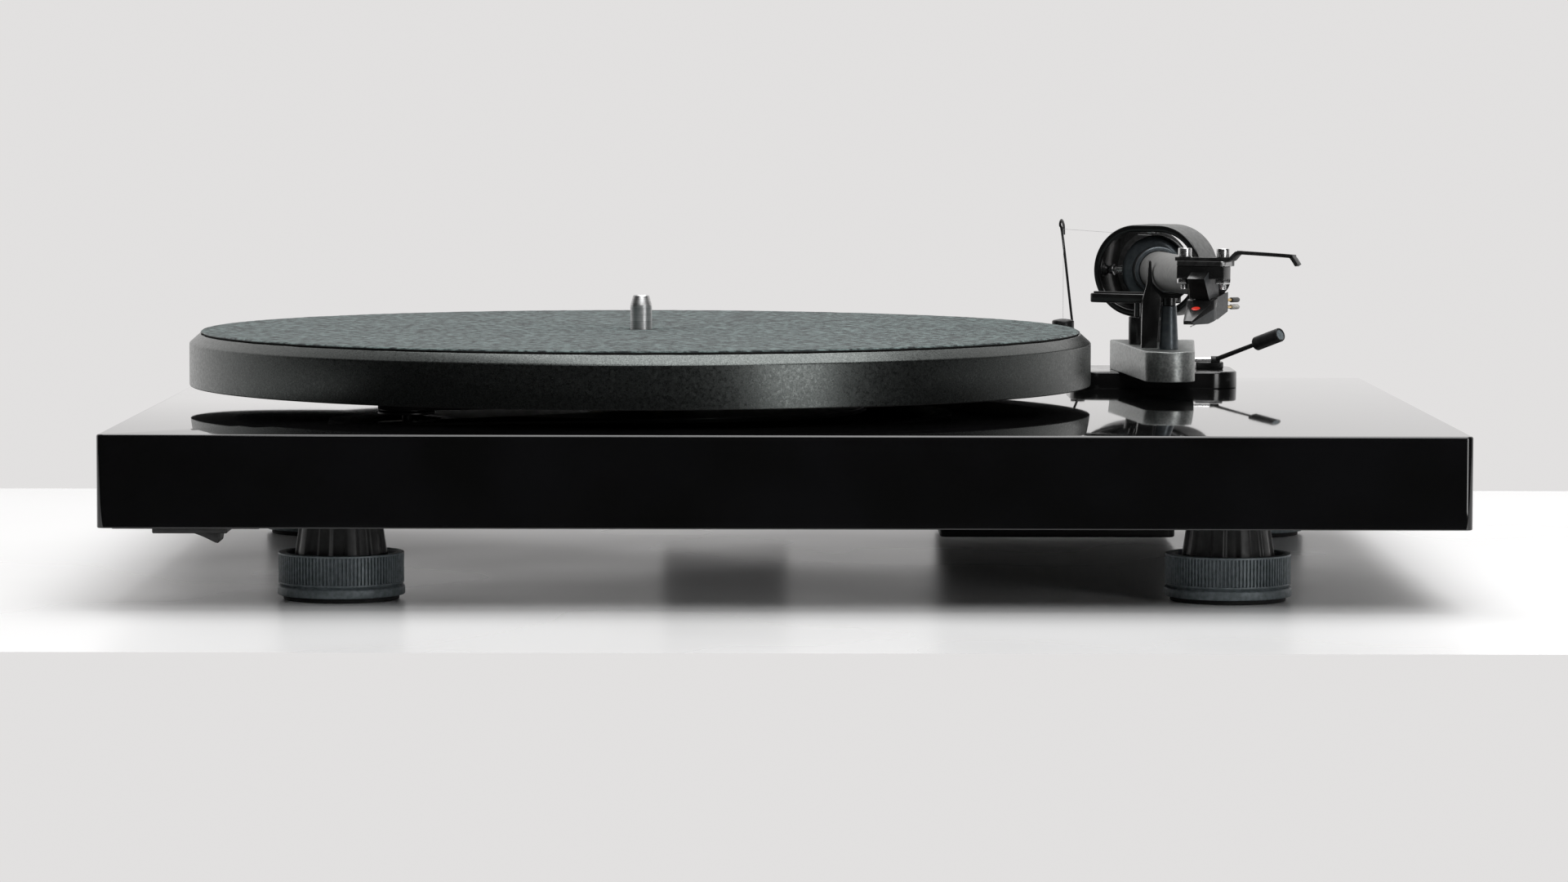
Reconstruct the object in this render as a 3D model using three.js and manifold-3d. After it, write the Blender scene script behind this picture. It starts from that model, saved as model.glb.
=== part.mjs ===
// A belt-driven turntable with a gimballed tonearm, modelled piece by piece.
// Millimetres, +X to the right, +Y to the back, +Z up.
// The origin is on the floor, under the middle of the plinth.

import * as THREE from 'three';
import { mergeVertices } from 'three/addons/utils/BufferGeometryUtils.js';
import Module from 'manifold-3d';

const wasm = await Module();
wasm.setup();

// ---------------------------------------------------------------- driving sizes

const PLINTH = { width: 417, depth: 320, thickness: 28.5, corner: 2.5, chamfer: 0.8 };
const FOOT_HEIGHT = 25.5;
const TOP = FOOT_HEIGHT + PLINTH.thickness;

const SPINDLE = { x: -48.1, y: 10, radius: 3.6, top: 89.7 };
const SHAFT_RADIUS = 3.8;
const SUB_PLATTER = { radius: 74.5, bottom: 56.4, top: 59.9 };
const SPEED_RATIO = 9;
const PULLEY = { x: -120, y: -80, radius: SUB_PLATTER.radius / SPEED_RATIO };
const PLATTER = { radius: 150, bottom: 60.2, shoulder: 74.2, top: 77.2, topRadius: 146.6 };
const MAT = { radius: 146.5, bottom: 77.2, top: 78.3, hole: 5.3 };

const PIVOT = { x: 130, y: 100, z: 94.9 };
const ARM_REACH = 218.5;
const OFFSET_ANGLE = rad(25.3);
const REST_YAW = rad(-1.11);
const REST_PITCH = rad(1.37);
const TUBE_SKEW = rad(2.13);
const STYLUS_DROP = 14.6;

const RUNNING_GAP = 0.06;
const LOOSE_GAP = 0.3;

// ---------------------------------------------------------------- finishes

function finish(color, roughness, metalness) {
  return new THREE.MeshStandardMaterial({ color, roughness, metalness });
}

const FINISH = {
  pianoBlack: finish(0x0b0b0c, 0.08, 0.0),
  darkMetal: finish(0x4a4b4a, 0.38, 0.9),
  felt: finish(0x6f7672, 0.95, 0.0),
  rubber: finish(0x121212, 0.85, 0.0),
  blackPlastic: finish(0x17181a, 0.45, 0.0),
  slateMetal: finish(0x5d6264, 0.42, 0.85),
  silverPlastic: finish(0x9a9c99, 0.4, 0.5),
  greyTube: finish(0xa5a5a1, 0.45, 0.6),
  chrome: finish(0xd5d5d5, 0.12, 1.0),
  aluminium: finish(0xb9bab9, 0.3, 1.0),
  brass: finish(0xc09a55, 0.3, 1.0),
  cartridgeGrey: finish(0x7f8283, 0.4, 0.1),
  nylon: finish(0xe8e8e4, 0.6, 0.0),
};

// ---------------------------------------------------------------- solid helpers

function rad(degrees) {
  return degrees * Math.PI / 180;
}

function toSolid(geometry) {
  const bare = geometry.clone();
  bare.deleteAttribute('normal');
  bare.deleteAttribute('uv');
  const merged = mergeVertices(bare, 1e-4);
  return new wasm.Manifold(new wasm.Mesh({
    numProp: 3,
    vertProperties: new Float32Array(merged.attributes.position.array),
    triVerts: new Uint32Array(merged.index.array),
  }));
}

function toGeometry(solid) {
  const mesh = solid.getMesh();
  const geometry = new THREE.BufferGeometry();
  geometry.setAttribute('position', new THREE.BufferAttribute(new Float32Array(mesh.vertProperties), 3));
  geometry.setIndex(new THREE.BufferAttribute(new Uint32Array(mesh.triVerts), 1));
  return geometry;
}

function join(first, ...rest) {
  return toGeometry(rest.reduce((sum, next) => sum.add(toSolid(next)), toSolid(first)));
}

function cut(base, ...tools) {
  return toGeometry(tools.reduce((left, tool) => left.subtract(toSolid(tool)), toSolid(base)));
}

function moved(geometry, x, y, z) {
  return geometry.clone().translate(x, y, z);
}

function turned(geometry, angle) {
  return geometry.clone().rotateZ(angle);
}

// A round bar along Z.
function disc(radius, bottom, top, segments = 32) {
  const geometry = new THREE.CylinderGeometry(radius, radius, top - bottom, segments);
  return geometry.rotateX(Math.PI / 2).translate(0, 0, (top + bottom) / 2);
}

// A profile of [radius, height] points, turned about Z.
function lathe(profile, segments = 48) {
  const points = profile.map(([radius, height]) => new THREE.Vector2(radius, height));
  return new THREE.LatheGeometry(points, segments).rotateX(Math.PI / 2);
}

// A ring-shaped profile closes on itself.
function latheRing(profile, segments = 48) {
  return lathe([...profile, profile[0]], segments);
}

function block(x0, x1, y0, y1, z0, z1) {
  const geometry = new THREE.BoxGeometry(x1 - x0, y1 - y0, z1 - z0);
  return geometry.translate((x0 + x1) / 2, (y0 + y1) / 2, (z0 + z1) / 2);
}

// An outline pushed up from bottom to top, with its rims chamfered.
function slab(shape, bottom, top, chamfer = 0, curveSegments = 8) {
  const bevel = chamfer > 0;
  const geometry = new THREE.ExtrudeGeometry(shape, {
    depth: top - bottom - 2 * chamfer,
    bevelEnabled: bevel,
    bevelThickness: chamfer,
    bevelSize: chamfer,
    bevelOffset: -chamfer,
    bevelSegments: 1,
    curveSegments,
  });
  return geometry.translate(0, 0, bottom + chamfer);
}

function roundedRectangle(width, depth, radius, x = 0, y = 0) {
  const w = width / 2;
  const d = depth / 2;
  const shape = new THREE.Shape();
  shape.moveTo(x - w + radius, y - d);
  shape.lineTo(x + w - radius, y - d);
  shape.absarc(x + w - radius, y - d + radius, radius, -Math.PI / 2, 0);
  shape.lineTo(x + w, y + d - radius);
  shape.absarc(x + w - radius, y + d - radius, radius, 0, Math.PI / 2);
  shape.lineTo(x - w + radius, y + d);
  shape.absarc(x - w + radius, y + d - radius, radius, Math.PI / 2, Math.PI);
  shape.lineTo(x - w, y - d + radius);
  shape.absarc(x - w + radius, y - d + radius, radius, Math.PI, 1.5 * Math.PI);
  return shape;
}

function polygon(points) {
  return new THREE.Shape(points.map(([x, y]) => new THREE.Vector2(x, y)));
}

// A round or tapered bar from one point to another.
function bar(from, to, radiusFrom, radiusTo = radiusFrom, segments = 16) {
  const a = new THREE.Vector3(...from);
  const b = new THREE.Vector3(...to);
  const length = a.distanceTo(b);
  const geometry = new THREE.CylinderGeometry(radiusTo, radiusFrom, length, segments);
  const up = new THREE.Vector3(0, 1, 0);
  const along = b.clone().sub(a).normalize();
  geometry.applyQuaternion(new THREE.Quaternion().setFromUnitVectors(up, along));
  const middle = a.add(b).multiplyScalar(0.5);
  return geometry.translate(middle.x, middle.y, middle.z);
}

// A wire of round section through a list of points.
function wire(points, radius, steps, sides = 8) {
  const path = new THREE.CatmullRomCurve3(points.map((point) => new THREE.Vector3(...point)), false, 'centripetal');
  const section = new THREE.Shape();
  section.absarc(0, 0, radius, 0, 2 * Math.PI);
  return new THREE.ExtrudeGeometry(section, {
    steps,
    extrudePath: path,
    bevelEnabled: false,
    curveSegments: sides / 2,
  });
}

// Lays a profile drawn in X-Z flat along Y, from front to back.
function slabAlongY(shape, front, back, chamfer = 0, curveSegments = 8) {
  return slab(shape, -back, -front, chamfer, curveSegments).rotateX(Math.PI / 2);
}

// Stands a profile drawn in Y-Z up across X, the same distance to both sides.
function slabAcrossX(shape, half) {
  const geometry = new THREE.ExtrudeGeometry(shape, { depth: 2 * half, bevelEnabled: false });
  return geometry.applyMatrix4(new THREE.Matrix4().set(
    0, 0, 1, -half,
    1, 0, 0, 0,
    0, 1, 0, 0,
    0, 0, 0, 1,
  ));
}

function node(group, name, geometry, material) {
  const mesh = new THREE.Mesh(geometry, material);
  mesh.name = name;
  group.add(mesh);
  return mesh;
}

// ---------------------------------------------------------------- plinth and feet

const FRONT_FEET = { x: 138, y: -115 };
const REAR_FEET = { x: 165, y: 127 };
const MOTOR_RADIUS = 19;
const SWITCH = { x: -182, y: -135, pivot: 24, tilt: rad(10) };
const COLUMN_RADIUS = 7.5;
const BEARING_RADIUS = 12;

function plinth() {
  const board = slab(
    roundedRectangle(PLINTH.width, PLINTH.depth, PLINTH.corner),
    FOOT_HEIGHT,
    TOP,
    PLINTH.chamfer,
    4,
  );
  const bearingHole = moved(disc(BEARING_RADIUS + LOOSE_GAP, 0, 99), SPINDLE.x, SPINDLE.y, 0);
  const motorPocket = moved(disc(MOTOR_RADIUS + 1.5, 0, 51), PULLEY.x, PULLEY.y, 0);
  const pulleyHole = moved(disc(11, 40, 99), PULLEY.x, PULLEY.y, 0);
  const columnHole = moved(disc(COLUMN_RADIUS + LOOSE_GAP, 0, 99), PIVOT.x, PIVOT.y, 0);
  const switchHole = block(SWITCH.x - 10.5, SWITCH.x + 10.5, SWITCH.y - 8, SWITCH.y + 8, 0, 34);
  return cut(board, bearingHole, motorPocket, pulleyHole, columnHole, switchHole);
}

const FOOT = {
  padTop: 1.5,
  flangeTop: 4.6,
  ringTop: 14.7,
  padRadius: 18,
  flangeRadius: 19.8,
  ringRadius: 19.5,
  ringInner: 16.9,
  studRadius: 4,
  coneTopRadius: 12.7,
  coneLowRadius: 15.3,
  coneBottom: 8,
};

function footCone() {
  return latheRing([
    [FOOT.studRadius + 0.08, FOOT.coneBottom],
    [FOOT.coneLowRadius, FOOT.coneBottom],
    [FOOT.coneTopRadius, FOOT_HEIGHT],
    [FOOT.studRadius + 0.08, FOOT_HEIGHT],
  ], 28);
}

function footRing() {
  return lathe([
    [0, FOOT.padTop],
    [FOOT.flangeRadius, FOOT.padTop],
    [FOOT.flangeRadius, FOOT.flangeTop - 0.5],
    [FOOT.ringRadius - 0.6, FOOT.flangeTop],
    [FOOT.ringRadius, FOOT.flangeTop + 0.6],
    [FOOT.ringRadius, FOOT.ringTop],
    [FOOT.ringInner, FOOT.ringTop],
    [FOOT.ringInner, FOOT.flangeTop + 0.8],
    [FOOT.studRadius, FOOT.flangeTop + 0.8],
    [FOOT.studRadius, 22],
    [0, 22],
  ], 28);
}

function addFeet(root) {
  const places = {
    front_left: [-FRONT_FEET.x, FRONT_FEET.y],
    front_right: [FRONT_FEET.x, FRONT_FEET.y],
    rear_left: [-REAR_FEET.x, REAR_FEET.y],
    rear_right: [REAR_FEET.x, REAR_FEET.y],
  };
  for (const [place, [x, y]] of Object.entries(places)) {
    const foot = new THREE.Group();
    foot.position.set(x, y, 0);
    root.add(foot);
    node(foot, `foot_cone_${place}`, footCone(), FINISH.blackPlastic);
    node(foot, `foot_ring_${place}`, footRing(), FINISH.slateMetal);
    node(foot, `foot_pad_${place}`, disc(FOOT.padRadius, 0, FOOT.padTop), FINISH.rubber);
  }
}

// ---------------------------------------------------------------- drive and platter

const HOUSING_FLOOR = 32;

function bearingHousing() {
  const bore = SHAFT_RADIUS + RUNNING_GAP;
  return lathe([
    [0, 28],
    [BEARING_RADIUS, 28],
    [BEARING_RADIUS, TOP],
    [17, TOP],
    [17, TOP + 1.2],
    [16.2, TOP + 2],
    [bore, TOP + 2],
    [bore, HOUSING_FLOOR],
    [0, HOUSING_FLOOR],
  ], 32);
}

const BALL_RADIUS = 2.4;

function spindle() {
  return lathe([
    [0, HOUSING_FLOOR + 2 * BALL_RADIUS + 0.1],
    [SHAFT_RADIUS - 0.5, HOUSING_FLOOR + 2 * BALL_RADIUS + 0.1],
    [SHAFT_RADIUS, HOUSING_FLOOR + 2 * BALL_RADIUS + 0.6],
    [SHAFT_RADIUS, SUB_PLATTER.top],
    [SPINDLE.radius, SUB_PLATTER.top],
    [SPINDLE.radius, SPINDLE.top - 3.5],
    [2.7, SPINDLE.top - 0.4],
    [2.2, SPINDLE.top],
    [0, SPINDLE.top],
  ], 32);
}

function subPlatter() {
  const bore = SHAFT_RADIUS + RUNNING_GAP;
  const { radius, bottom, top } = SUB_PLATTER;
  return latheRing([
    [bore, bottom],
    [radius - 0.4, bottom],
    [radius, bottom + 0.4],
    [radius, top - 0.4],
    [radius - 0.4, top],
    [bore, top],
  ], 64);
}

// Ribs on the underside take the weight out of the disc.
function platter() {
  const bore = SPINDLE.radius + LOOSE_GAP;
  const grooves = [[104, 136], [64, 98], [22, 58]];
  const grooveTop = PLATTER.bottom + 9;
  const underside = grooves.flatMap(([inner, outer]) => [
    [outer, PLATTER.bottom],
    [outer, grooveTop],
    [inner, grooveTop],
    [inner, PLATTER.bottom],
  ]);
  return latheRing([
    [bore, PLATTER.top],
    [PLATTER.topRadius, PLATTER.top],
    [PLATTER.radius, PLATTER.shoulder],
    [PLATTER.radius, PLATTER.bottom + 0.6],
    [PLATTER.radius - 0.6, PLATTER.bottom],
    ...underside,
    [bore, PLATTER.bottom],
  ].reverse(), 64);
}

function feltMat() {
  return latheRing([
    [MAT.hole, MAT.bottom],
    [MAT.radius, MAT.bottom],
    [MAT.radius, MAT.top],
    [MAT.hole, MAT.top],
  ], 64);
}

function motorPulley() {
  const radius = PULLEY.radius;
  return lathe([
    [0, 50.9],
    [1.5, 50.9],
    [1.5, 55.4],
    [radius + 0.9, 55.4],
    [radius + 0.9, 56.2],
    [radius, 56.6],
    [radius, 59.2],
    [0, 59.2],
  ], 32);
}

// The straight runs of the belt leave both wheels along their outer tangents.
function beltOutline(inflate) {
  const dx = PULLEY.x - SPINDLE.x;
  const dy = PULLEY.y - SPINDLE.y;
  const heading = Math.atan2(dy, dx);
  const big = SUB_PLATTER.radius + inflate;
  const small = PULLEY.radius + inflate;
  const spread = Math.acos((big - small) / Math.hypot(dx, dy));
  const path = new THREE.Path();
  path.absarc(SPINDLE.x, SPINDLE.y, big, heading + spread, heading - spread + 2 * Math.PI, false);
  path.absarc(PULLEY.x, PULLEY.y, small, heading - spread, heading + spread, false);
  return path.getPoints(18);
}

function driveBelt() {
  const loop = new THREE.Shape(beltOutline(LOOSE_GAP + 0.6));
  loop.holes.push(new THREE.Path(beltOutline(LOOSE_GAP)));
  return slab(loop, 56.9, 58.9);
}

function addDrive(root) {
  const centre = new THREE.Group();
  centre.position.set(SPINDLE.x, SPINDLE.y, 0);
  root.add(centre);
  const ball = new THREE.SphereGeometry(BALL_RADIUS, 12, 8).translate(0, 0, HOUSING_FLOOR + BALL_RADIUS + 0.05);
  node(centre, 'bearing_housing', bearingHousing(), FINISH.brass);
  node(centre, 'bearing_ball', ball, FINISH.chrome);
  node(centre, 'spindle', spindle(), FINISH.aluminium);
  node(centre, 'sub_platter', subPlatter(), FINISH.blackPlastic);
  node(centre, 'platter', platter(), FINISH.darkMetal);
  node(centre, 'felt_mat', feltMat(), FINISH.felt);

  const motor = new THREE.Group();
  motor.position.set(PULLEY.x, PULLEY.y, 0);
  root.add(motor);
  node(motor, 'motor_body', disc(MOTOR_RADIUS, FOOT_HEIGHT + 0.4, 50.4), FINISH.aluminium);
  node(motor, 'motor_cover', disc(23, FOOT_HEIGHT - 2.4, FOOT_HEIGHT - 0.1), FINISH.blackPlastic);
  node(motor, 'motor_pulley', motorPulley(), FINISH.brass);
  node(root, 'drive_belt', driveBelt(), FINISH.rubber);
}

// ---------------------------------------------------------------- switch and sockets

function switchBezel() {
  const plate = block(-205, -160, SWITCH.y - 15, SWITCH.y + 15, 24.8, FOOT_HEIGHT);
  const frame = block(SWITCH.x - 11.5, SWITCH.x + 11.5, SWITCH.y - 9, SWITCH.y + 9, 22.6, 25);
  const window = block(SWITCH.x - 10, SWITCH.x + 10, SWITCH.y - 7.4, SWITCH.y + 7.4, 20, 30);
  return cut(join(plate, frame), window);
}

function speedRocker() {
  const half = 9.3;
  const profile = new THREE.Shape();
  profile.moveTo(-half, 1);
  profile.lineTo(-half, -3);
  profile.lineTo(-half + 2, -3);
  profile.quadraticCurveTo(0, -0.6, half - 2, -3);
  profile.lineTo(half, -3);
  profile.lineTo(half, 1);
  return slabAlongY(profile, -7, 7).rotateY(SWITCH.tilt);
}

const JUNCTION = { x0: 54, x1: 136, y0: 82, y1: 146, bottom: 2.4 };
const SOCKET_HEIGHT = 14;

function junctionBox() {
  const { x0, x1, y0, y1, bottom } = JUNCTION;
  const outline = roundedRectangle(x1 - x0, y1 - y0, 3, (x0 + x1) / 2, (y0 + y1) / 2);
  return slab(outline, bottom, FOOT_HEIGHT - 0.1, 0.8, 4);
}

function backwardBar(x, z, radius, front, back, segments = 24) {
  return bar([x, front, z], [x, back, z], radius, radius, segments);
}

// Both phono sockets stand on one small panel.
function phonoSockets() {
  const face = JUNCTION.y1;
  const centres = [82, 104];
  const panel = block(73, 113, face, face + 1.4, SOCKET_HEIGHT - 8, SOCKET_HEIGHT + 8);
  const barrels = centres.map((x) => backwardBar(x, SOCKET_HEIGHT, 4.15, face + 1, face + 9));
  const contacts = centres.map((x) => backwardBar(x, SOCKET_HEIGHT, 1.65, face + 3, face + 10, 16));
  return cut(join(panel, ...barrels), ...contacts);
}

function groundTerminal() {
  const face = JUNCTION.y1;
  const screw = backwardBar(126, SOCKET_HEIGHT, 1.6, face, face + 9, 16);
  const nut = backwardBar(126, SOCKET_HEIGHT, 3.6, face + 2.2, face + 6.5, 20);
  return join(screw, nut);
}

function powerSocket() {
  const shell = slab(roundedRectangle(44, 40, 3, -21, 126), 14, FOOT_HEIGHT - 0.1, 0.8, 4);
  const jack = backwardBar(-21, 20, 2.9, 137, 150);
  const pin = backwardBar(-21, 20, 0.9, 136, 145, 12);
  return join(cut(shell, jack), pin);
}

function addElectrics(root) {
  node(root, 'switch_bezel', switchBezel(), FINISH.blackPlastic);
  const rocker = new THREE.Group();
  rocker.position.set(SWITCH.x, SWITCH.y, SWITCH.pivot);
  root.add(rocker);
  node(rocker, 'speed_rocker', speedRocker(), FINISH.blackPlastic);
  node(root, 'junction_box', junctionBox(), FINISH.blackPlastic);
  node(root, 'phono_sockets', phonoSockets(), FINISH.brass);
  node(root, 'ground_terminal', groundTerminal(), FINISH.brass);
  node(root, 'power_socket', powerSocket(), FINISH.blackPlastic);
}

// ---------------------------------------------------------------- tonearm base

const PLATE_TOP = TOP + 5.9;
const BLOCK_TOP = TOP + 16.2;
const STEM_RADIUS = 4.5;
const COLUMN_TOP = PIVOT.z - 18.4;
const REST_POST = { x: 130.3, y: 40, top: TOP + 31 };
const LIFT_GUIDE = { x: 122.4, y: 75 };
const CUE_AXLE = { y: 102, z: TOP + 9.5, radius: 0.8 };
const SKATE_WIRE = { x: 103.6, y: 112 };

function armBasePlate() {
  const outline = roundedRectangle(58.4, 44, 10, 129.1, 109.6);
  const columnHole = moved(disc(COLUMN_RADIUS + LOOSE_GAP, 0, 99), PIVOT.x, PIVOT.y, 0);
  return cut(slab(outline, TOP, PLATE_TOP, 0.7, 5), columnHole);
}

// A wedge that narrows towards its rounded front end, which overhangs the plinth.
function armBaseBlock() {
  const outline = new THREE.Shape();
  outline.moveTo(114.5, 109);
  outline.lineTo(121.4, 30.8);
  outline.absarc(129.95, 30.8, 8.55, Math.PI, 2 * Math.PI);
  outline.lineTo(144.2, 109);
  const body = slab(outline, PLATE_TOP, BLOCK_TOP, 0.6, 6);
  const columnHole = moved(disc(COLUMN_RADIUS + LOOSE_GAP, 0, 99), PIVOT.x, PIVOT.y, 0);
  const bore = CUE_AXLE.radius + RUNNING_GAP;
  const axleHole = bar([137, CUE_AXLE.y, CUE_AXLE.z], [150, CUE_AXLE.y, CUE_AXLE.z], bore, bore, 24);
  return cut(body, columnHole, axleHole);
}

function armColumn() {
  const bore = STEM_RADIUS + RUNNING_GAP;
  return latheRing([
    [bore, FOOT_HEIGHT + 14],
    [COLUMN_RADIUS, FOOT_HEIGHT + 14],
    [COLUMN_RADIUS, COLUMN_TOP - 0.5],
    [COLUMN_RADIUS - 0.5, COLUMN_TOP],
    [bore, COLUMN_TOP],
  ], 32);
}

function armRestPost() {
  return lathe([
    [0, BLOCK_TOP],
    [3.3, BLOCK_TOP],
    [2.6, REST_POST.top],
    [0, REST_POST.top],
  ], 24);
}

// A springy black clip: a blade from the block up to a cradle that wraps the tube.
function armRestClip() {
  const blade = polygon([
    [120.9, BLOCK_TOP + 0.4],
    [126.3, BLOCK_TOP + 0.4],
    [127.6, TOP + 34],
    [124.6, TOP + 38],
    [124.1, TOP + 46.6],
    [123.3, TOP + 46.6],
    [122.7, TOP + 38.6],
    [121.2, TOP + 33],
  ]);
  const cradle = new THREE.Shape();
  cradle.moveTo(124, TOP + 33.6);
  cradle.lineTo(133.6, TOP + 33.6);
  cradle.lineTo(137.6, TOP + 36.9);
  cradle.lineTo(139, TOP + 40.5);
  cradle.lineTo(138.3, TOP + 40.5);
  cradle.absarc(131, TOP + 42.3, 7.1, rad(-14), rad(-153), true);
  cradle.lineTo(123.8, TOP + 37);
  const { x, y } = REST_POST;
  return join(
    slabAlongY(blade, y - 1.6, y + 1.6),
    slabAlongY(cradle, y - 1.5, y + 1.5),
    block(x - 2.4, x + 2.4, y - 1.5, y + 1.5, REST_POST.top, TOP + 34),
  );
}

function liftGuide() {
  const bore = 1.5 + RUNNING_GAP;
  return latheRing([
    [bore, BLOCK_TOP],
    [3.5, BLOCK_TOP],
    [3.5, TOP + 25.4],
    [3.1, TOP + 25.8],
    [bore, TOP + 25.8],
  ], 24);
}

const LIFT_BAR = { radius: 34, width: 4, bottom: TOP + 30.8, top: TOP + 34 };

function liftArc(innerRadius, outerRadius) {
  const start = rad(-90 - 42.6);
  const end = rad(-90 + 9);
  const shape = new THREE.Shape();
  shape.absarc(PIVOT.x, PIVOT.y, outerRadius, start, end, false);
  shape.absarc(PIVOT.x, PIVOT.y, innerRadius, end, start, true);
  return shape;
}

function cueLiftBar() {
  const inner = LIFT_BAR.radius - LIFT_BAR.width / 2;
  const outer = LIFT_BAR.radius + LIFT_BAR.width / 2;
  const rail = slab(liftArc(inner, outer), LIFT_BAR.bottom, LIFT_BAR.top, 0, 12);
  const web = block(
    LIFT_GUIDE.x - 2.5,
    LIFT_GUIDE.x + 2.5,
    LIFT_GUIDE.y - 8,
    LIFT_GUIDE.y + 2.5,
    LIFT_BAR.bottom,
    LIFT_BAR.top - 0.6,
  );
  const rod = moved(disc(1.5, BLOCK_TOP + 3, LIFT_BAR.bottom + 1, 24), LIFT_GUIDE.x, LIFT_GUIDE.y, 0);
  return join(rail, web, rod);
}

function cueBarPad() {
  const inner = LIFT_BAR.radius - 1.2;
  const outer = LIFT_BAR.radius + 1.2;
  return slab(liftArc(inner, outer), LIFT_BAR.top, LIFT_BAR.top + 0.6, 0, 12);
}

const LEVER_HUB = [151.2, CUE_AXLE.y, CUE_AXLE.z];
const LEVER_AIM = new THREE.Vector3(12.35, -12, 5.8).normalize();

function alongLever(distance) {
  return [
    LEVER_HUB[0] + LEVER_AIM.x * distance,
    LEVER_HUB[1] + LEVER_AIM.y * distance,
    LEVER_HUB[2] + LEVER_AIM.z * distance,
  ];
}

function cueLever() {
  const { y, z, radius } = CUE_AXLE;
  const axle = bar([138, y, z], [151.5, y, z], radius, radius, 16);
  const hub = bar([149.6, y, z], [152.8, y, z], 1.25, 1.25, 20);
  const rod = bar(LEVER_HUB, alongLever(20.4), 0.85, 0.75, 12);
  return join(axle, hub, rod);
}

function cueKnob() {
  const knob = bar(alongLever(19.2), alongLever(30.8), 2.45, 2.45, 24);
  const socket = bar(alongLever(10), alongLever(21.2), 0.9, 0.9, 16);
  return cut(knob, socket);
}

function skateWire() {
  const { x, y } = SKATE_WIRE;
  const boss = moved(disc(2.6, PLATE_TOP, PLATE_TOP + 2.8, 20), x, y, 0);
  const stem = wire([
    [x, y, PLATE_TOP + 1],
    [x - 2.2, y, TOP + 22],
    [x - 5.7, y, TOP + 52],
    [x - 6.7, y - 1, TOP + 56.4],
    [x - 6.3, y - 2.6, TOP + 58.2],
    [x - 5.7, y - 4.6, TOP + 56.6],
    [x - 5.6, y - 5.4, TOP + 53.2],
  ], 0.45, 28);
  return join(boss, stem);
}

const SKATE_WEIGHT = { x: 97.8, y: 105.6, top: TOP + 23.7, height: 11 };

function skateWeight() {
  const top = SKATE_WEIGHT.top;
  const bottom = top - SKATE_WEIGHT.height;
  return lathe([
    [0, bottom],
    [3.4, bottom],
    [3.9, bottom + 0.5],
    [3.9, top - 1],
    [3, top - 0.2],
    [0, top],
  ], 24);
}

function addArmBase(root) {
  node(root, 'arm_base_plate', armBasePlate(), FINISH.pianoBlack);
  node(root, 'arm_base_block', armBaseBlock(), FINISH.silverPlastic);
  node(root, 'arm_column', moved(armColumn(), PIVOT.x, PIVOT.y, 0), FINISH.blackPlastic);
  node(root, 'arm_rest_post', moved(armRestPost(), REST_POST.x, REST_POST.y, 0), FINISH.slateMetal);
  node(root, 'arm_rest_clip', armRestClip(), FINISH.blackPlastic);
  node(root, 'cue_guide', moved(liftGuide(), LIFT_GUIDE.x, LIFT_GUIDE.y, 0), FINISH.blackPlastic);
  node(root, 'cue_lift_bar', cueLiftBar(), FINISH.blackPlastic);
  node(root, 'cue_bar_pad', cueBarPad(), FINISH.rubber);
  node(root, 'cue_housing', block(144.8, 154.4, 106, 122, PLATE_TOP, PLATE_TOP + 2.6), FINISH.blackPlastic);
  node(root, 'cue_lever', cueLever(), FINISH.chrome);
  node(root, 'cue_knob', cueKnob(), FINISH.blackPlastic);
  node(root, 'anti_skate_wire', skateWire(), FINISH.aluminium);
  node(root, 'anti_skate_weight', moved(skateWeight(), SKATE_WEIGHT.x, SKATE_WEIGHT.y, 0), FINISH.darkMetal);
}

// ---------------------------------------------------------------- gimbal
// Arm frame: the origin is the pivot, and the stylus lies straight ahead along -Y.

const RING = { high: 16.1, straight: 4.2, wall: 2.5, half: 8.25 };
const INNER_RING = { radius: 12.4, half: 4 };
const BUSH = { radius: 8.4, bore: 7.1, half: 12.5 };
const NEEDLE = { root: 11.2, shoulder: 14.4, tip: 16.8 };

function stadium(halfHeight, halfStraight) {
  const shape = new THREE.Shape();
  shape.absarc(halfStraight, 0, halfHeight, -Math.PI / 2, Math.PI / 2, false);
  shape.absarc(-halfStraight, 0, halfHeight, Math.PI / 2, 1.5 * Math.PI, false);
  return shape;
}

// The oval housing turns with the arm on a stem that runs down into the column.
function gimbalRing() {
  const shell = slabAlongY(stadium(RING.high, RING.straight), -RING.half, RING.half, 0.7, 14);
  const mouth = slabAlongY(stadium(RING.high - RING.wall, RING.straight), -20, 20, 0, 14);
  const stem = disc(STEM_RADIUS, -49, -RING.high + 1, 32);
  const collar = disc(6.4, -17.6, -RING.high + 0.6, 32);
  return turned(join(cut(shell, mouth), stem, collar), -OFFSET_ANGLE);
}

// A cup screw stands on the inside wall and takes the needle's tip.
function pivotCup(side) {
  const wall = RING.high - RING.wall + RING.straight - 0.2;
  const body = bar([side * wall, 0, 0], [side * (wall - 1.8), 0, 0], 1.3, 1.95, 20);
  const recess = bar([side * (wall - 0.7), 0, 0], [side * (wall - 2.4), 0, 0], 0.05, 2, 20);
  return turned(cut(body, recess), -OFFSET_ANGLE);
}

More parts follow.
